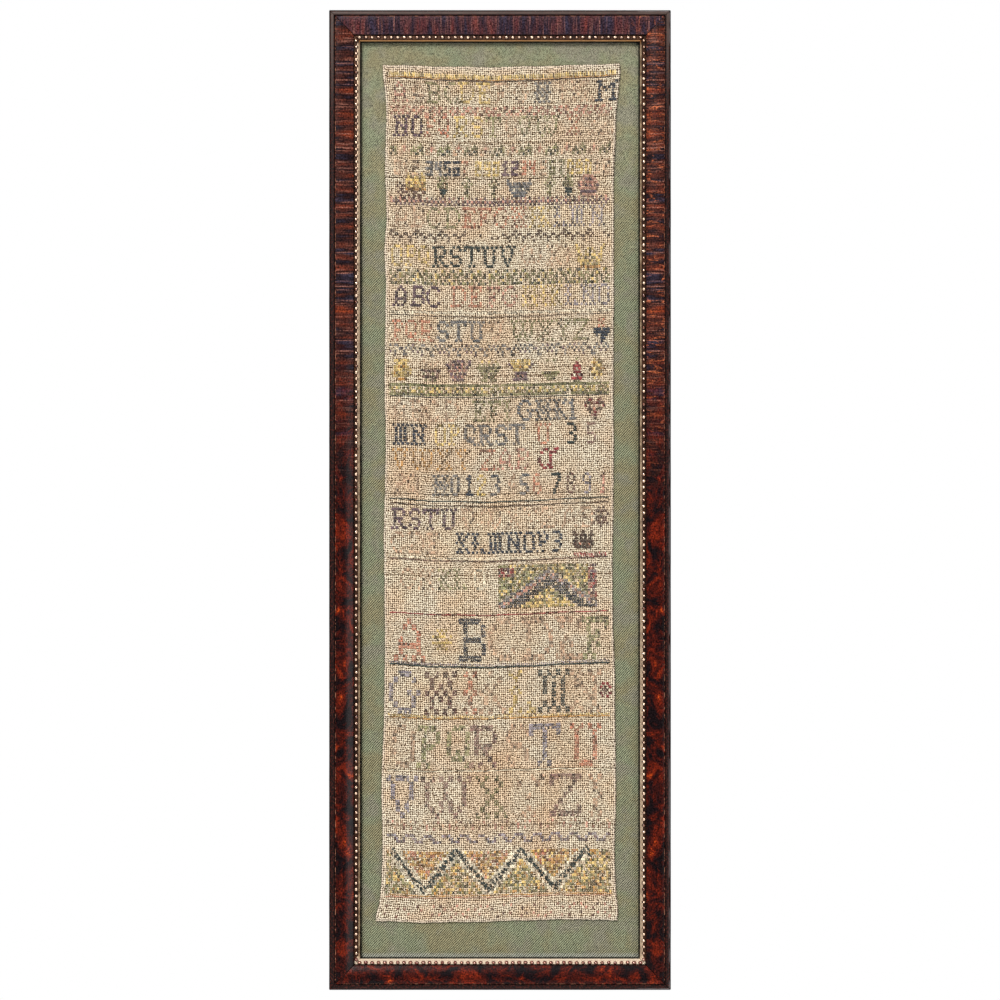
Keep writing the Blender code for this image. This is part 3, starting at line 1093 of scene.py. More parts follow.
@dataclass
class MountCloth:
    """The green cloth stretched over the board, just slack enough to show a ripple."""

    finish: bpy.types.Material
    columns: int = 62
    rows: int = 192
    front: float = 6.38 * MM
    thickness: float = 0.6 * MM
    ripple: float = 0.16 * MM

    def build(self) -> bpy.types.Object:
        """Makes the cloth in place of its plain sheet.

        Returns:
            The finished piece.
        """
        low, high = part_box("mount_cloth")
        x, z = np.meshgrid(
            side_by_side(low.x, high.x, self.columns + 1),
            side_by_side(high.z, low.z, self.rows + 1),
        )
        forward = self.front + self.ripple * swell(x, z, 90 * MM, 0.7)
        cloth = woven_sheet(
            "green_mount_cloth", np.stack([x, -forward, z], axis=-1), self.thickness, self.finish
        )
        own_piece(cloth, ["mount_cloth"])
        return cloth


@dataclass
class LinenSheet:
    """The sampler's linen: one strip, its edges a little ragged and its turnings raised."""

    finish: bpy.types.Material
    columns: int = 102
    rows: int = 277
    thickness: float = 0.75 * MM
    inside: float = 7.75 * MM  # forward height that lies within the plain sheet everywhere
    edge_stray: float = 0.6 * MM
    turning: float = 1.6  # width of the turned edge, in columns
    turning_height: float = 0.22 * MM
    pucker: float = 0.14 * MM
    flat_width: float = 190 * MM
    flat_length: float = 703 * MM
    seed: int = 11
    points: np.ndarray = field(init=False)

    def __post_init__(self) -> None:
        """Works out where the cloth's threads cross."""
        self.points = self.lay_out()

    def lay_out(self) -> np.ndarray:
        """Spreads the grid of stitches over the cloth.

        Returns:
            The front's points, (rows + 1, columns + 1, 3).
        """
        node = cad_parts["sampler_linen"]
        corners = [vertex.co for vertex in node.data.vertices]
        tree = BVHTree.FromPolygons(corners, [tuple(p.vertices) for p in node.data.polygons])
        low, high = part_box("sampler_linen")
        outside = 0.2

        def touch(start: tuple, direction: tuple, otherwise: float, axis: int) -> float:
            """Where a ray meets the plain sheet along one axis."""
            found = tree.ray_cast(Vector(start), Vector(direction))[0]
            return found[axis] if found is not None else otherwise

        across = side_by_side(0.0, 1.0, self.columns + 1)
        down = side_by_side(0.0, 1.0, self.rows + 1)
        spread = low.x + (high.x - low.x) * (0.04 + 0.92 * across)
        tops = np.array(
            [touch((x, -self.inside, high.z + outside), (0, 0, -1), high.z, 2) for x in spread]
        )
        bottoms = np.array(
            [touch((x, -self.inside, low.z - outside), (0, 0, 1), low.z, 2) for x in spread]
        )
        heights = np.clip(
            tops.mean() + (bottoms.mean() - tops.mean()) * down, low.z + 4 * MM, high.z - 4 * MM
        )
        lefts = np.array(
            [touch((-outside, -self.inside, z), (1, 0, 0), low.x, 0) for z in heights]
        )
        rights = np.array(
            [touch((outside, -self.inside, z), (-1, 0, 0), high.x, 0) for z in heights]
        )
        random = np.random.default_rng(self.seed)
        lefts += self.frayed(down, random)
        rights += self.frayed(down, random)
        tops += self.frayed(across, random)
        bottoms += self.frayed(across, random)
        x = lefts[:, None] + (rights - lefts)[:, None] * across[None, :]
        z = tops[None, :] + (bottoms - tops)[None, :] * down[:, None]
        forward = np.empty_like(x)
        for row, column in np.ndindex(x.shape):
            at_x = min(max(x[row, column], lefts[row] + 1.5 * MM), rights[row] - 1.5 * MM)
            at_z = min(max(z[row, column], low.z + 4 * MM), high.z - 4 * MM)
            forward[row, column] = -touch((at_x, -outside, at_z), (0, 1, 0), -self.inside, 1)
        from_edge = np.minimum.outer(
            np.minimum(down, 1 - down) * self.rows, np.minimum(across, 1 - across) * self.columns
        )
        turned = np.clip(1 - from_edge / self.turning, 0, 1)
        fold = np.clip(1 - np.abs(from_edge - self.turning * 1.25) / 0.8, 0, 1)
        forward += self.turning_height * (np.sqrt(turned) - 0.9 * fold)
        forward += self.pucker * swell(x, z, 46 * MM, 1.9)
        forward += 0.05 * MM * random.normal(0, 1, x.shape)
        return np.stack([x, -forward, z], axis=-1)

    def frayed(self, run: np.ndarray, random: np.random.Generator) -> np.ndarray:
        """How far a cut edge strays, smoothly, along its run.

        Args:
            run: places along the edge, 0 to 1.
            random: where the stray comes from.

        Returns:
            The stray at each place.
        """
        total = np.zeros_like(run)
        for waves in (9, 23, 51, 97, 151, 203):
            turn = random.uniform(0, 2 * math.pi)
            total += np.sin(run * waves * math.pi + turn) / math.sqrt(waves)
        return total * self.edge_stray

    def on_front(self, places: np.ndarray) -> np.ndarray:
        """The points of the front at these places on the cloth.

        Args:
            places: rows of (column, row), in stitches.

        Returns:
            A point for each.
        """
        column = np.clip(places[:, 0], 0, self.columns - 1e-6)
        row = np.clip(places[:, 1], 0, self.rows - 1e-6)
        left, top = column.astype(int), row.astype(int)
        u, v = (column - left)[:, None], (row - top)[:, None]
        upper = self.points[top, left] * (1 - u) + self.points[top, left + 1] * u
        lower = self.points[top + 1, left] * (1 - u) + self.points[top + 1, left + 1] * u
        return upper * (1 - v) + lower * v

    def build(self) -> bpy.types.Object:
        """Makes the linen in place of its plain sheet.

        Returns:
            The finished piece.
        """
        linen = woven_sheet("linen_ground", self.points, self.thickness, self.finish)
        own_piece(linen, ["sampler_linen"])
        return linen


# ---------------------------------------------------------------------------------------------
# Embroidery
# ---------------------------------------------------------------------------------------------


class Thread(Enum):
    """The embroidery silks, each with its letter in the charts."""

    ROSE = "p"
    FADED = "f"
    CORAL = "c"
    MADDER = "r"
    MAROON = "m"
    STRAW = "y"
    OLD_GOLD = "o"
    SAGE = "s"
    MOSS = "g"
    BOTTLE = "d"
    SLATE = "b"
    INDIGO = "i"
    LILAC = "l"
    PLUM = "u"
    UMBER = "n"
    CREAM = "w"
    MAUVE = "v"


SILKS: dict[Thread, tuple[Colour, float]] = {
    Thread.ROSE: (display(184, 120, 106), 0.34),
    Thread.FADED: (display(190, 150, 122), 0.5),
    Thread.CORAL: (display(182, 102, 76), 0.34),
    Thread.MADDER: (display(142, 34, 46), 0.12),
    Thread.MAROON: (display(74, 34, 36), 0.12),
    Thread.STRAW: (display(220, 188, 108), 0.25),
    Thread.OLD_GOLD: (display(188, 132, 50), 0.25),
    Thread.SAGE: (display(130, 132, 84), 0.3),
    Thread.MOSS: (display(92, 94, 48), 0.25),
    Thread.BOTTLE: (display(30, 48, 48), 0.06),
    Thread.SLATE: (display(86, 92, 100), 0.25),
    Thread.INDIGO: (display(32, 46, 64), 0.08),
    Thread.LILAC: (display(128, 124, 142), 0.3),
    Thread.PLUM: (display(80, 54, 74), 0.15),
    Thread.UMBER: (display(62, 38, 30), 0.1),
    Thread.CREAM: (display(240, 228, 202), 0.2),
    Thread.MAUVE: (display(122, 84, 82), 0.3),
}

BOLD = {Thread.BOTTLE, Thread.INDIGO, Thread.SLATE, Thread.PLUM, Thread.UMBER, Thread.MADDER}

LETTERS: dict[str, str] = {
    "A": "...X... ..X.X.. .X...X. .X...X. .XXXXX. .X...X. X.X.X.X",
    "B": "XXXXX. .X...X .X...X .XXXX. .X...X .X...X XXXXX.",
    "C": "..XXX.. .X...X. X...... X...... X...... .X...X. ..XXX..",
    "D": "XXXXX.. .X...X. .X....X .X....X .X....X .X...X. XXXXX..",
    "E": "XXXXXX .X...X .X.X.. .XXX.. .X.X.. .X...X XXXXXX",
    "F": "XXXXXX .X...X .X.X.. .XXX.. .X.X.. .X.... X.X...",
    "G": "..XXX.. .X...X. X...... X...X.X X....X. .X...X. ..XXX..",
    "H": "X.X.X.X .X...X. .X.X.X. X.X.X.X .X.X.X. .X...X. X.X.X.X",
    "I": "X.X .X. .X. X.X .X. .X. X.X",
    "K": "X.X..X .X..X. .X.X.. X.X... .X.X.. .X..X. X.X..X",
    "L": "X.X... .X.... .X.... X.X... .X.... .X..X. X.X.XX",
    "M": "X.X.X.X .X.X.X. .X.X.X. .X.X.X. .X.X.X. .X.X.X. X.X.X.X",
    "N": "X.X.X.X .X...X. .XX..X. .X.X.X. .X..XX. .X...X. X.X.X.X",
    "O": ".XXX. X...X X...X X...X X...X X...X .XXX.",
    "P": "XXXX. .X..X .X..X .XXX. .X... .X... X.X..",
    "Q": ".XXX. X...X X...X X...X X.X.X .XXX. ....X",
    "R": "XXXXX.. .X...X. .X...X. .XXXX.. .X.X... .X..X.. X.X..XX",
    "S": ".XXX. X...X X.... .XXX. ....X X...X .XXX.",
    "T": "XXXXXXX X..X..X ...X... ...X... ...X... ...X... ..X.X..",
    "U": "X.X.X.X .X...X. .X...X. .X...X. .X...X. .X...X. ..XXX..",
    "V": "X.XXX.X .X...X. .X...X. .X...X. ..X.X.. ..X.X.. ...X...",
    "W": "X.X.X.X.X.X .X...X...X. .X...X...X. .X...X...X. .X..X.X..X. ..X.X.X.X.. "
    "...X...X...",
    "X": "X.X.X.X .X...X. ..X.X.. ...X... ..X.X.. .X...X. X.X.X.X",
    "Y": "X.X.X.X .X...X. ..X.X.. ...X... ...X... ...X... ..X.X..",
    "Z": "XXXXXXX X....X. ....X.. ...X... ..X.... .X....X XXXXXXX",
    "a": "..XXX..XX .X...XXX. X....X... X....X... X....X... .X..XX... ..XX.XX..",
    "m": "XX.....XX .XX...XX. .X.X.X.X. .X..X..X. .X.....X. .X.....X. XXX...XXX",
    "0": ".XX. X..X X..X X..X X..X X..X .XX.",
    "1": ".X. XX. .X. .X. .X. .X. XXX",
    "2": ".XX. X..X ...X ..X. .X.. X... XXXX",
    "3": "XXX. ...X ...X .XX. ...X ...X XXX.",
    "4": "..X. .XX. X.X. X.X. XXXX ..X. ..X.",
    "5": "XXXX X... X... XXX. ...X ...X XXX.",
    "6": ".XX. X... X... XXX. X..X X..X .XX.",
    "7": "XXXX ...X ...X ..X. ..X. .X.. .X..",
    "8": ".XX. X..X X..X .XX. X..X X..X .XX.",
    "9": ".XX. X..X X..X .XXX ...X ...X .XX.",
}

SMALL_NUMERALS: dict[str, str] = {
    "0": "XXX X.X X.X X.X XXX",
    "1": ".X. XX. .X. .X. XXX",
    "2": "XXX ..X XXX X.. XXX",
    "3": "XXX ..X XXX ..X XXX",
    "4": "X.X X.X XXX ..X ..X",
    "5": "XXX X.. XXX ..X XXX",
    "6": "XXX X.. XXX X.X XXX",
    "7": "XXX ..X .X. .X. .X.",
    "8": "XXX X.X XXX X.X XXX",
    "9": "XXX X.X XXX ..X XXX",
}

MOTIFS: dict[str, str] = {
    "crown": "y.....y.....y yy...yyy...yy .y..y.g.y..y. .yy.yygyy.yy. .y.ygggggy.y. "
    ".yyyyyyyyyyy. ..ygygygygy.. ..ooooooooo..",
    "gold_crown": "..y..y..y.. ..yy.yy.yy. .yyyyyyyyy. .yoyyoyyoy. .yyyyyyyyy. .ooooooooo.",
    "brown_crown": "..n...n...n.. ..nn.nnn.nn.. ...n.n.n.n... ..nnnnnnnnn.. ..ncncncncn.. "
    "...nnnnnnn...",
    "dark_tree": ".m...mm...m.. m.mm.m..mm.m. .mm.mmmm.mm.. m.mmm..mm..mm .m..mm.m.mm.. "
    "..mm..mm..m..",
    "pot": "s.s.s .sss. ggggg ggggg .ddd. .ddd. ..d..",
    "bowl": "........... b.........b bb.bbb.bbbb .bbbbbbbbb. .bbwbwbwbb. ..bbbbbbb.. ...bbbbb...",
    "sprig": "..s.. .s.s. s.g.s .ggg. ..g.. .gg.. ..g..",
    "rose_jar": "..ppppp.. .ppupupp. ppppppppp uppupuppu ppppppppp .uuuuuuu. .ppppppp.",
    "gold_pot": ".yyyyyyy. ..yyyyy.. .yyoyoyy. yyyyyyyyy yoyyyyyoy .yyyyyyy. ..ooooo..",
    "nest": ".f.....f. ..f.f.f.. ......... vnvnvnvnv .g.v.g.v. .vnvnvnv. ..gvgvg..",
    "plum_urn": "u.vuvuvuv.u uvvpupupvvu .u.pupup.u. .vpvpvpvpv. ..u.u.u.u.. ..vpupupv.. "
    "...uvuvu...",
    "green_bowl": "..y..y..y.. .s.s.s.s.s. ggggggggggg .gsgsgsgsg. ..ggggggg.. ...ggggg... "
    "..ggggggg..",
    "mixed_urn": ".yyyyyyyyy. uyyyyyyyyyu .uyyyoyyyu. ..yyyyyyy.. ...uuuuu... ...upupu... "
    "..uuuuuuu..",
    "small_bowl": "..s..s.. ........ ........ ........ gggggggg .gsgsgs. ..gggg..",
    "strawberry": "...g... ...r... ..rrr.. ..rwr.. .rrrrr. .rwrwr. .rrrrr. ..ggg..",
    "sun": "..y.y.. .yoyoy. .yyyyy. ooyyyoo .yyyyy. .yoyoy. ..y.y..",
    "thistle": "..c.c.. ...c... ..c.c.. iii.iii iiiiiii .iiiii. ..iii.. ...i...",
    "heart": ".vrv.vrv. vnvcvrvnv r.v.v.v.r .vnvcvnv. ..v.r.v.. ...vrv... ....n....",
    "maroon_flower": "..m.m.. .mmmmm. m..m..m .mmmmm. .mm.mm. m.mmm.m ...m...",
    "posy": ".r.r. r.m.r .mmm. r.m.r .r.r.",
    "light_sun": "..y.y.y.. ...y.y... yyyyyyyyy ..s...y.. yyyyyyyyy ...y.y... ..y.y.y..",
}

BORDERS: dict[str, str] = {
    "rosy": "p.pp.cp. .pc.ppf. p..p.p.p",
    "sprigs": ".g....f..... sgs..fpf..s. .dg.f.p.fsgs g.g.ff...g.d",
    "teeth": "p.u.p.u. pupupupu u.u.u.u.",
    "vine": "nn......... n.nn..nn..n .n..nn..nn. ....n....n.",
    "ferns": "g..gd..y s.g.ys.g .gd.ygg. g.y.g.g. sgdys.gd",
    "waves": "b.bb....b.u. .b..bu.b.b.b u.b...b...u. ..u...bb....",
    "fence": "gsggsgsg sy.ysyg. .gyy.sys gsgsggdg",
    "meander": "lull.... ...ul..l ....lulu",
    "hem": ".p..p..... ......p..p",
    "ghost": "f.p...f... ....f..p.. p..f...p..",
    "ticks": "w.w.w.w. .w.w.w.w",
}


@dataclass
class Embroidery:
    """All the stitching: bands of letters, motifs and borders, gathered thread by thread."""

    linen: LinenSheet
    first_row: int = 2
    first_column: int = 2
    last_column: int = 100
    low_crest: float = 0.42 * MM
    high_crest: float = 0.70 * MM
    half_girth: float = 0.44 * MM
    stray: float = 0.06
    tone_spread: float = 0.33
    gaps: float = 0.08  # the share of small stitches missing from a large square
    doubled: float = 0.85  # the share of dark stitches worked twice, side by side
    seed: int = 3
    legs: dict[Thread, list[tuple[float, ...]]] = field(init=False)
    random: np.random.Generator = field(init=False)

    def __post_init__(self) -> None:
        """Starts with bare linen."""
        self.legs = {thread: [] for thread in Thread}
        self.random = np.random.default_rng(self.seed)

    def add_leg(
        self,
        thread: Thread,
        start: tuple[float, float],
        end: tuple[float, float],
        crest: float,
        girth: float,
        tone: float | None = None,
    ) -> None:
        """Lays one length of thread on the cloth, from a hole to another.

        Args:
            thread: the silk.
            start: where it comes up, as (column, row) below the first stitched row.
            end: where it goes down.
            crest: how far its back stands off the cloth.
            girth: half its width.
            tone: its lightness, 0 to 1, or None to pick one.
        """
        stray = self.random.normal(0, self.stray, 4)
        if tone is None:
            tone = self.pick_tone()
        down = self.first_row
        places = (start[0], start[1] + down, end[0], end[1] + down)
        self.legs[thread].append((*(p + s for p, s in zip(places, stray)), crest, girth, tone))

    def pick_tone(self) -> float:
        """The lightness of one stitch, 0 to 1."""
        return float(np.clip(self.random.normal(0.5, self.tone_spread), 0, 1))

    def cross(self, thread: Thread, column: float, row: float) -> None:
        """Works one cross stitch.

        Args:
            thread: the silk.
            column: its left side.
            row: its top.
        """
        tone = self.pick_tone()
        left, right, top, foot = column, column + 1, row, row + 1
        self.add_leg(thread, (left, foot), (right, top), self.low_crest, self.half_girth, tone)
        self.add_leg(thread, (left, top), (right, foot), self.high_crest, self.half_girth, tone)

    def chart(
        self,
        rows: Sequence[str],
        column: float,
        row: float,
        thread: Thread | None = None,
        size: int = 1,
        missing: float = 0.03,
    ) -> None:
        """Works a chart.

        Args:
            rows: its rows, with . for bare cloth, X for the given thread and other letters for
                their own.
            column: its left side.
            row: its top.
            thread: the silk for X.
            size: how many holes each of its squares spans.
            missing: the share of its stitches that is worn away.
        """
        for down, line in enumerate(rows):
            for across, mark in enumerate(line):
                if mark == ".":
                    continue
                silk = thread if mark == "X" else Thread(mark)
                if self.random.random() < missing:
                    continue
                left, top = column + across * size, row + down * size
                for small_down, small_across in np.ndindex(size, size):
                    if size > 1 and self.random.random() < self.gaps:
                        continue
                    self.cross(silk, left + small_across, top + small_down)
                if size == 1 and silk in BOLD and self.random.random() < self.doubled:
                    self.cross(silk, left + 0.55, top + 0.1)

    def lettering(
        self, row: float, line: str, charts: dict[str, str] = LETTERS, size: int = 1
    ) -> None:
        """Works one row of letters, numerals and motifs.

        Args:
            row: its top.
            line: words such as 18/g/BC, for a column, a thread and letters from there on, or
                86/crown for a column and a motif.
            charts: the alphabet.
            size: how many holes each square spans.
        """
        for word in line.split():
            column, *what = word.split("/")
            at = float(column)
            if len(what) == 1:
                self.chart(MOTIFS[what[0]].split(), at, row)
                continue
            thread = Thread(what[0])
            missing = 0.12 if thread is Thread.FADED else 0.03
            for letter in what[1]:
                rows = charts[letter].split()
                self.chart(rows, at, row, thread, size, missing)
                at += (len(rows[0]) + 1) * size - (size - 1)

    def border(
        self,
        row: float,
        name: str,
        bare: Iterable[tuple[int, int]] = (),
        missing: float = 0.05,
    ) -> None:
        """Works a border across the cloth by repeating its chart.

        Args:
            row: its top.
            name: its name among the borders.
            bare: spans of columns where most of it is worn away.
            missing: the share of its stitches that is worn away elsewhere.
        """
        for down, line in enumerate(BORDERS[name].split()):
            for column in range(self.first_column, self.last_column):
                mark = line[(column - self.first_column) % len(line)]
                if mark == ".":
                    continue
                worn = any(low <= column < high for low, high in bare)
                if self.random.random() < (0.8 if worn else missing):
                    continue
                self.cross(Thread(mark), column, row + down)

    def satin(
        self,
        row: float,
        height: float,
        thread: Thread,
        sag: float = 0.0,
        span: tuple[float, float] | None = None,
        step: float = 0.72,
        slant: float = 0.15,
    ) -> None:
        """Works a band of upright stitches laid side by side.

        Args:
            row: its top.
            height: its height in rows.
            thread: the silk.
            sag: how far its middle hangs, in rows.
            span: the first and last column, or None for the whole width.
            step: how far apart the stitches are.
            slant: how far each leans.
        """
        first, last = span or (self.first_column, self.last_column)
        for column in np.arange(first, last, step):
            hang = sag * math.sin(math.pi * (column - first) / (last - first))
            top = row + hang + self.random.normal(0, 0.12)
            foot = top + height + self.random.normal(0, 0.12)
            self.add_leg(
                thread, (column, top), (column + slant, foot), self.low_crest, 0.42 * MM
            )

    def line(
        self,
        row: float,
        thread: Thread,
        sag: float = 0.0,
        span: tuple[float, float] | None = None,
        girth: float = 0.38 * MM,
        length: float = 2.2,
    ) -> None:
        """Works a line of stem stitch along a row.

        Args:
            row: where it lies.
            thread: the silk.
            sag: how far its middle hangs, in rows.
            span: the first and last column, or None for the whole width.
            girth: half its width.
            length: the length of a stitch, in columns.
        """
        first, last = span or (self.first_column, self.last_column)
        count = round((last - first) / (length * 0.62))
        step = (last - first) / count
        for index in range(count):
            column = first + index * step
            share = (column - first) / (last - first)
            near = sag * math.sin(math.pi * share)
            far = sag * math.sin(math.pi * min(1.0, share + length / (last - first)))
            self.add_leg(
                thread,
                (column, row + near + 0.1),
                (min(column + length, last), row + far - 0.1),
                0.6 * MM,
                girth,
            )

    def build_meshes(self) -> list[bpy.types.Object]:
        """Makes one piece of stitching for each silk.

        Returns:
            The finished pieces.
        """
        pieces = []
        for thread, legs in self.legs.items():
            if not legs:
                continue
            colour, fading = SILKS[thread]
            name = f"silk_{thread.name.lower()}"
            finish = SilkFinish(name, colour, fading).make()
            piece = self.thread_piece(name, np.array(legs), finish)
            own_piece(piece)
            pieces.append(piece)
        return pieces

    def thread_piece(
        self, name: str, legs: np.ndarray, finish: bpy.types.Material
    ) -> bpy.types.Object:
        """Makes the stitches of one silk: each a closed length, fat in the middle.

        Args:
            name: the piece's name.
            legs: a row for each, as add_leg keeps it.
            finish: its material.

        Returns:
            The piece.
        """
        start, end = legs[:, 0:2], legs[:, 2:4]
        crest, girth, tone = legs[:, 4:5], legs[:, 5:6], legs[:, 6]
        shares = np.array([0.0, 0.17, 0.5, 0.83, 1.0])
        lifts = np.array([-0.25, 0.78, 1.0, 0.78, -0.25])
        widths = np.array([0.0, 0.86, 1.0, 0.86, 0.0])
        spots = [self.linen.on_front(start + (end - start) * share) for share in shares]
        way = spots[-1] - spots[0]
        forward = np.array([0.0, -1.0, 0.0])
        right = np.cross(way, forward)
        right /= np.linalg.norm(right, axis=1, keepdims=True)
        corners = []
        for index in (1, 2, 3):
            rise = forward * crest * lifts[index]
            wide = right * girth * widths[index]
            middle = spots[index]
            corners.append(middle - wide + rise * 0.5)
            corners.append(middle + rise)
            corners.append(middle + wide + rise * 0.5)
            corners.append(middle - forward * 0.08 * MM)
        corners.append(spots[0] + forward * lifts[0] * 0.5 * MM)
        corners.append(spots[-1] + forward * lifts[-1] * 0.5 * MM)
        points = np.stack(corners, axis=1)
        quads = [
            (4 * ring + i, 4 * ring + (i + 1) % 4, 4 * ring + 4 + (i + 1) % 4, 4 * ring + 4 + i)
            for ring in (0, 1)
            for i in range(4)
        ]
        caps = [(12, (i + 1) % 4, i) for i in range(4)]
        caps += [(13, 8 + i, 8 + (i + 1) % 4) for i in range(4)]
        count, each = points.shape[:2]
        base = np.arange(count)[:, None, None] * each
        polygons = (np.array(quads)[None] + base).reshape(-1, 4).tolist()
        polygons += (np.array(caps)[None] + base).reshape(-1, 3).tolist()
        mesh = bpy.data.meshes.new(name)
        mesh.from_pydata(points.reshape(-1, 3).tolist(), [], polygons)
        mesh.materials.append(finish)
        mesh.shade_smooth()
        run = np.array([shares[1]] * 4 + [shares[2]] * 4 + [shares[3]] * 4 + [0.0, 1.0])
        round_it = np.array([0.0, 0.5, 1.0, 0.5] * 3 + [0.5, 0.5])
        corner_of = np.empty(len(mesh.loops), np.int32)
        mesh.loops.foreach_get("vertex_index", corner_of)
        corner_of %= each
        layer = mesh.uv_layers.new(name="thread_run")
        placed = np.stack([run[corner_of], round_it[corner_of]], axis=-1).astype(np.float32)
        layer.data.foreach_set("uv", placed.ravel())
        shade = mesh.attributes.new("stitch_tone", "FLOAT", "POINT")
        shade.data.foreach_set("value", np.repeat(tone, each).astype(np.float32))
        piece = bpy.data.objects.new(name, mesh)
        bpy.context.scene.collection.objects.link(piece)
        return piece


@dataclass
class BandPlan:
    """The order of the sampler's bands, from its top to its hem; rows count from the first one."""

    work: Embroidery
    seed: int = 17

    def work_all(self) -> None:
        """Works every band."""
        self.work_upper_alphabet()
        self.work_motif_bands()
        self.work_middle_letters()
        self.work_numerals()
        self.work_mountain()
        self.work_large_letters()
        self.work_chevrons()

    def work_upper_alphabet(self) -> None:
        """The yellow top band, two rows of capitals and the first borders."""
        work = self.work
        work.satin(-0.2, 1.8, Thread.STRAW, sag=0.7)
        work.line(2.0, Thread.UMBER, sag=0.7, girth=0.36 * MM)
        work.line(1.6, Thread.OLD_GOLD, sag=0.7, girth=0.26 * MM)
        work.lettering(
            3, "3/p/A 11/f/A 18/g/B 26/s/C 32/y/D 40/y/E 48/f/F 56/f/G 65/b/H 76/f/I 81/f/K "
            "86/f/L 92/i/m"
        )
        work.border(11, "rosy")
        work.lettering(
            14, "3/u/NO 17/c/PQ 30/y/RS 44/s/T 52/f/U 58/s/VW 80/c/X 88/f/Y 94/f/Z"
        )
        work.border(23, "sprigs")
        work.lettering(
            28.5,
            "4/f/012 18/b/34 26/i/56 34/c/7 40/y/890 52/u/12 60/c/34 69/f/5 73/g/67 81/y/890 "
            "93/f/12",
            SMALL_NUMERALS,
        )

    def work_motif_bands(self) -> None:
        """The first row of crowns and pots, and the letters and vine below it."""
        work = self.work
        work.chart(MOTIFS["gold_crown"].split(), 8, 32.5)
        work.chart(MOTIFS["dark_tree"].split(), 5, 35.5)
        work.lettering(33.5, "23/pot 34/sprig 46/sprig 54/bowl 71/sprig 79/pot 86/rose_jar")
        work.border(40.3, "teeth")
        work.lettering(43.5, "3/f/AB 18/s/CD 34/c/EF 48/c/GH 64/y/IK 75/l/LM 91/l/N")
        work.border(51, "vine", bare=[(36, 52), (93, 100)])
        work.lettering(56, "3/y/OPQ 21/d/RSTUV 60/f/WX 80/f/I 85/crown")
        work.border(63.8, "ferns")
        work.lettering(69, "3/u/ABC 29/c/DE 45/p/FG 61/y/HIK 80/l/L 87/l/N 95/l/O")
        work.satin(77.2, 1.1, Thread.CREAM, slant=0.5)
        work.line(78.6, Thread.UMBER, sag=0.5, girth=0.26 * MM)

    def work_middle_letters(self) -> None:
        """The rows of letters and motifs about the middle."""
        work = self.work
        work.lettering(80.2, "3/c/PQR 23/b/STU 46/f/V 56/g/WXYZ 93/thistle")
        work.border(88, "waves")
        work.lettering(
            93,
            "3/gold_pot 16/nest 27/plum_urn 41/green_bowl 55/mixed_urn 70/small_bowl "
            "82/strawberry 91/sun",
        )
        work.border(100.8, "fence")
        work.line(101.0, Thread.MOSS, sag=0.4, girth=0.26 * MM)
        work.line(104.9, Thread.BOTTLE, sag=0.4, girth=0.28 * MM)
        work.lettering(106, "3/f/ABCD 39/g/EF 53/g/I 59/b/GHK 82/b/1 89/heart")
        work.lettering(113.8, "3/i/MN 22/y/OP 35/b/QRST 67/c/U 81/d/3 90/v/5")
        work.lettering(121.8, "3/o/VW 23/o/XY 42/c/Z 50/p/AB 68/r/a")

    def work_numerals(self) -> None:
        """The numerals and the last rows of small letters."""
        work = self.work
        work.lettering(
            130,
            "4/f/PQ 21/b/H 29/b/0 36/i/1 41/y/2 47/b/3 55/f/4 60/b/5 66/c/6 74/d/7 81/m/8 88/l/9 "
            "96/p/1",
        )
        work.line(138.1, Thread.BOTTLE, sag=0.9, girth=0.44 * MM)
        work.line(139.6, Thread.UMBER, sag=0.9, girth=0.4 * MM)
        work.lettering(141, "3/u/RSTU 34/f/VWXYZ 79/f/AB 93/maroon_flower")
        work.lettering(148.8, "3/f/CDE 32/i/KLMNOP 75/i/3 82/brown_crown")
        work.satin(156.3, 0.8, Thread.CREAM, sag=0.8, step=0.9, slant=0.6)
        work.line(157.4, Thread.MAROON, sag=0.9, girth=0.38 * MM)
        work.satin(155.9, 1.6, Thread.MADDER, span=(85, 99), slant=0.7)
        work.lettering(160.5, "7/f/GH 24/s/KL 40/w/O")

    def work_mountain(self) -> None:
        """The panel with a dark ridge on a yellow-green ground."""
        work = self.work
        random = np.random.default_rng(self.seed)
        first, last, middle = 51, 95, 73.4
        top, foot = 159.6, 173.6
        for down in range(round(foot - top)):
            for column in range(first, last):
                aside = abs(column + 0.5 - middle)
                depth = down + 0.5 - (5.6 + 0.49 * aside)
                in_corner = column < first + 7 and 1 <= down < 4 or column > last - 5
                if random.random() < 0.10:
                    continue
                if abs(depth) < 1.6:
                    thread = Thread.INDIGO if random.random() < 0.7 else Thread.BOTTLE
                elif depth > 0:
                    thread = random.choice([Thread.STRAW, Thread.STRAW, Thread.SAGE])
                elif depth > -4.4:
                    upper = depth < -3.2
                    thread = Thread.SLATE if upper else random.choice([Thread.ROSE, Thread.LILAC])
                elif in_corner:
                    thread = random.choice([Thread.PLUM, Thread.MADDER, Thread.ROSE])
                else:
                    thread = random.choice([Thread.MOSS, Thread.STRAW, Thread.SAGE])
                work.cross(thread, column, top + down)
        work.line(174.9, Thread.MADDER, sag=0.8, girth=0.42 * MM)

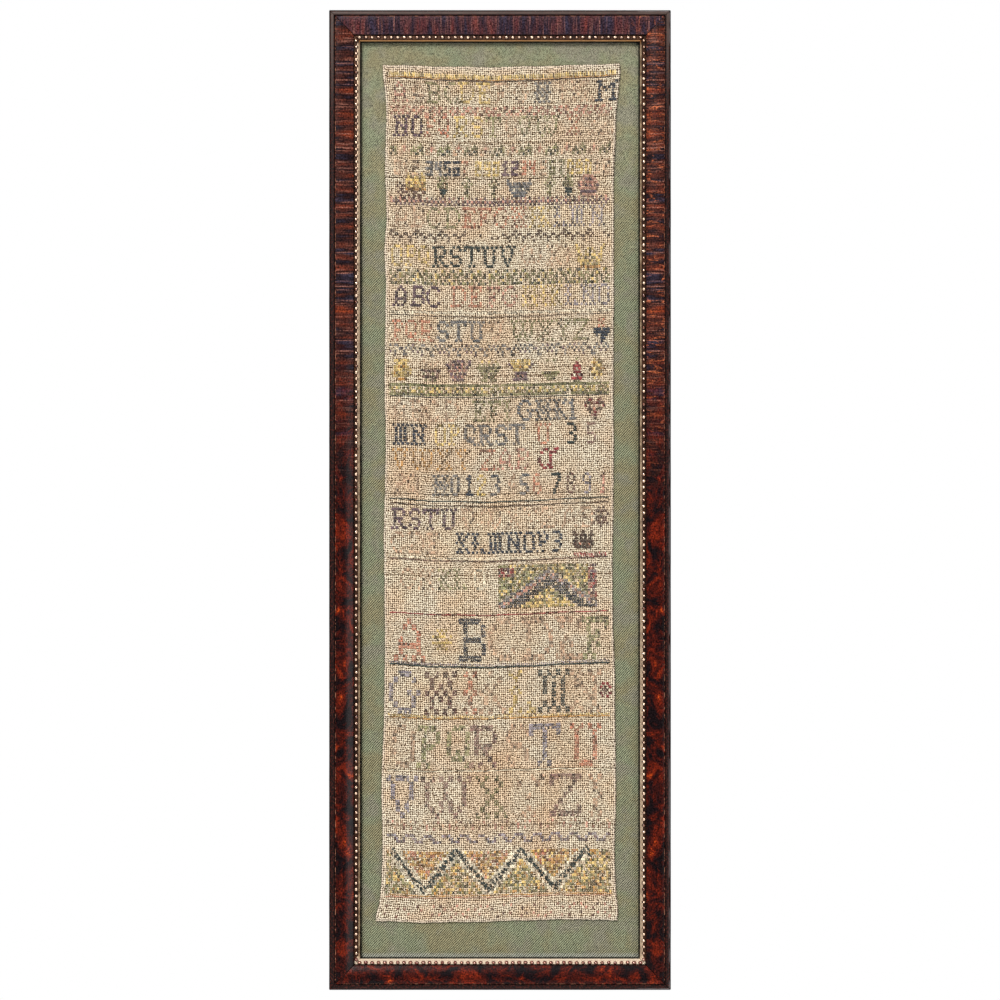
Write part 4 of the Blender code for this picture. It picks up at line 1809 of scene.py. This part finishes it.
    def work_large_letters(self) -> None:
        """The large alphabet, with a line of stem stitch between its rows."""
        work = self.work
        work.lettering(176.7, "4/c/A 33/i/B 46/f/C 61/f/D 76/f/E 88/s/F", size=2)
        work.chart(MOTIFS["light_sun"].split(), 21, 180)
        work.satin(190.5, 0.9, Thread.LILAC, sag=1.0, step=0.9, slant=0.3)
        work.line(191.6, Thread.BOTTLE, sag=1.0, girth=0.68 * MM)
        work.lettering(193.8, "2/l/G 18/m/H 35/c/I 42/f/K 55/y/L 68/d/M 82/f/N", size=2)
        work.chart(MOTIFS["posy"].split(), 95, 198)
        work.satin(207.9, 0.8, Thread.STRAW, sag=0.3, step=0.9, slant=0.5)
        work.line(208.9, Thread.OLD_GOLD, sag=0.3, girth=0.36 * MM)
        work.lettering(211.2, "4/f/O 15/s/P 28/s/Q 38/v/R 54/f/S 64/l/T 82/c/U", size=2)
        work.line(226.1, Thread.CREAM, girth=0.3 * MM)
        work.lettering(227.6, "2/l/V 17/v/W 41/g/X 57/f/Y 73/v/Z 90/f/I", size=2)
        work.border(242.2, "ghost")
        work.border(246.6, "meander")

    def work_chevrons(self) -> None:
        """The dark zigzag with its coloured filling, the last line and the hem's faint marks."""
        work = self.work
        random = np.random.default_rng(self.seed + 1)
        top, depth, period, start = 252.0, 12.6, 28.5, 4.0
        above = [Thread.OLD_GOLD, Thread.OLD_GOLD, Thread.CORAL, Thread.STRAW]
        below = [Thread.SAGE, Thread.OLD_GOLD, Thread.STRAW, Thread.MOSS, Thread.STRAW]
        for column in range(work.first_column, work.last_column):
            share = ((column + 0.5 - start) / period) % 1.0
            ridge = top + depth * (1 - abs(2 * share - 1))
            within = start <= column < start + 3 * period + 1
            for down in range(14):
                row = top + down
                away = abs(row + 0.5 - ridge)
                if within and away < 1.3 or random.random() < 0.2:
                    continue
                if within and away < 2.9:
                    work.cross(Thread.CREAM, column, row)
                    continue
                choice = above if within and row < ridge else below
                work.cross(choice[random.integers(len(choice))], column, row)
            if not within:
                continue
            for lift in (-1.1, 0.0):
                if random.random() < 0.06:
                    continue
                aside, above_it = random.normal(-0.5, 0.25), random.normal(lift, 0.3)
                work.cross(Thread.BOTTLE, column + 0.5 + aside, ridge + above_it)
                if random.random() < 0.4:
                    work.cross(Thread.BOTTLE, column + aside + 1.0, ridge + above_it + 0.2)
        work.line(266.3, Thread.OLD_GOLD, sag=0.2, girth=0.3 * MM)
        work.line(266.9, Thread.CORAL, sag=0.2, girth=0.2 * MM)
        work.border(269.4, "hem", missing=0.3)
        work.border(272.0, "hem", missing=0.4)


# ---------------------------------------------------------------------------------------------
# Glass, boards and studio
# ---------------------------------------------------------------------------------------------


@dataclass
class FlatLayers:
    """The glass before the sampler and the boards behind it, which keep their plain shapes."""

    glass: bpy.types.Material
    card: bpy.types.Material
    pine: bpy.types.Material

    def dress(self) -> None:
        """Gives each layer its finish."""
        for name, finish in (
            ("glazing", self.glass),
            ("mount_board", self.card),
            ("backboard", self.pine),
        ):
            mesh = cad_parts[name].data
            mesh.materials.clear()
            mesh.materials.append(finish)
            LOG.info("%s: dressed", name)


@dataclass
class Studio:
    """A pale floor, soft light from the upper left and a level camera before the frame."""

    lens: float = 120.0
    view_width: float = 0.8156
    sensor: float = 36.0
    floor_drop: float = 0.32
    floor_size: float = 3.4
    sky_low: float = 0.07
    sky_high: float = 0.78
    key_power: float = 272.0
    fill_power: float = 20.0

    def build(self) -> None:
        """Sets up the floor, the lights and the camera."""
        self.build_floor()
        self.build_sky()
        self.add_light("key", (-1.5, -4.6, 2.4), 1.4, self.key_power)
        self.add_light("fill", (1.5, -2.5, -0.5), 1.2, self.fill_power)
        self.add_light("back", (0.8, 2.4, 1.4), 1.4, self.fill_power)
        self.build_camera()
        bpy.context.scene.view_settings.view_transform = "Standard"

    def build_floor(self) -> None:
        """Lays the floor well below the frame."""
        deselect_all()
        bpy.ops.mesh.primitive_plane_add(
            size=self.floor_size, location=(0, 0, CAD_LOW.z - self.floor_drop)
        )
        floor = bpy.context.object
        floor.name = "studio_floor"
        nodes = FinishNodes("pale_floor")
        tone = nodes.span(nodes.cloud(nodes.place(), 3.0, 2.0), 0.74, 0.80)
        nodes.set(Base_Color=nodes.grey(tone), Roughness=0.8)
        floor.data.materials.append(nodes.material)

    def build_sky(self) -> None:
        """Lights the scene evenly and shows white behind the object."""
        world = bpy.data.worlds.new("studio")
        bpy.context.scene.world = world
        world.use_nodes = True
        tree = world.node_tree
        backdrop = tree.nodes["Background"]
        backdrop.inputs["Color"].default_value = (1.0, 1.0, 1.0, 1.0)
        way = tree.nodes.new("ShaderNodeSeparateXYZ")
        direction = tree.nodes.new("ShaderNodeTexCoord").outputs["Generated"]
        tree.links.new(direction, way.inputs[0])
        glow = tree.nodes.new("ShaderNodeMapRange")
        tree.links.new(way.outputs["Z"], glow.inputs["Value"])
        glow.inputs["From Min"].default_value = -0.1
        glow.inputs["From Max"].default_value = 0.8
        glow.inputs["To Min"].default_value = self.sky_low
        glow.inputs["To Max"].default_value = self.sky_high
        seen = tree.nodes.new("ShaderNodeLightPath").outputs["Is Camera Ray"]
        strength = tree.nodes.new("ShaderNodeMapRange")
        tree.links.new(seen, strength.inputs["Value"])
        tree.links.new(glow.outputs["Result"], strength.inputs["To Min"])
        strength.inputs["To Max"].default_value = 1.0
        tree.links.new(strength.outputs["Result"], backdrop.inputs["Strength"])

    def add_light(
        self, name: str, place: tuple[float, float, float], size: float, power: float
    ) -> None:
        """Adds a soft square light that faces the frame.

        Args:
            name: its name.
            place: where it stands.
            size: its side.
            power: its power in watts.
        """
        lamp = bpy.data.lights.new(name, "AREA")
        lamp.size = size
        lamp.energy = power
        light = bpy.data.objects.new(name, lamp)
        light.location = place
        light.rotation_euler = (-Vector(place)).to_track_quat("-Z", "Y").to_euler()
        bpy.context.scene.collection.objects.link(light)

    def build_camera(self) -> None:
        """Sets the camera level with the frame's middle."""
        lens = bpy.data.cameras.new("camera")
        lens.lens = self.lens
        lens.sensor_width = self.sensor
        camera = bpy.data.objects.new("camera", lens)
        distance = self.view_width * self.lens / self.sensor
        camera.location = (0.0, CAD_LOW.y - distance, 0.0)
        camera.rotation_euler = (math.pi / 2, 0.0, 0.0)
        bpy.context.scene.collection.objects.link(camera)
        bpy.context.scene.camera = camera


def main() -> None:
    """Builds the framed sampler from its frame to its last stitch, then the studio."""
    logging.basicConfig(level=logging.INFO, format="%(message)s")
    shell, ebony = TortoiseshellFinish().make(), EbonisedFinish().make()
    gilt = GiltFinish().make()
    Moulding("rail", "ebonised_rail", "ebonised_wood", ebony).build()
    Moulding("band", "shell_band", "tortoiseshell", shell).build()
    Moulding("slip", "gilt_slip", "aged_gilt", gilt, rounding=0.14 * MM, wave=0.12 * MM).build()
    PearlRow(BeadFinish().make()).build()
    MountCloth(MountClothFinish().make()).build()
    linen = LinenSheet(LinenFinish().make())
    ground = linen.build()
    stitching = Embroidery(linen)
    BandPlan(stitching).work_all()
    silks = stitching.build_meshes()
    card = BoardFinish("grey_card", display(176, 168, 154), display(150, 142, 128), 0.6)
    pine = BoardFinish("plain_pine", display(176, 140, 96), display(118, 84, 52), 0.06, 420.0)
    FlatLayers(GlassFinish().make(), card.make(), pine.make()).dress()
    Studio().build()


if __name__ == "__main__":
    main()
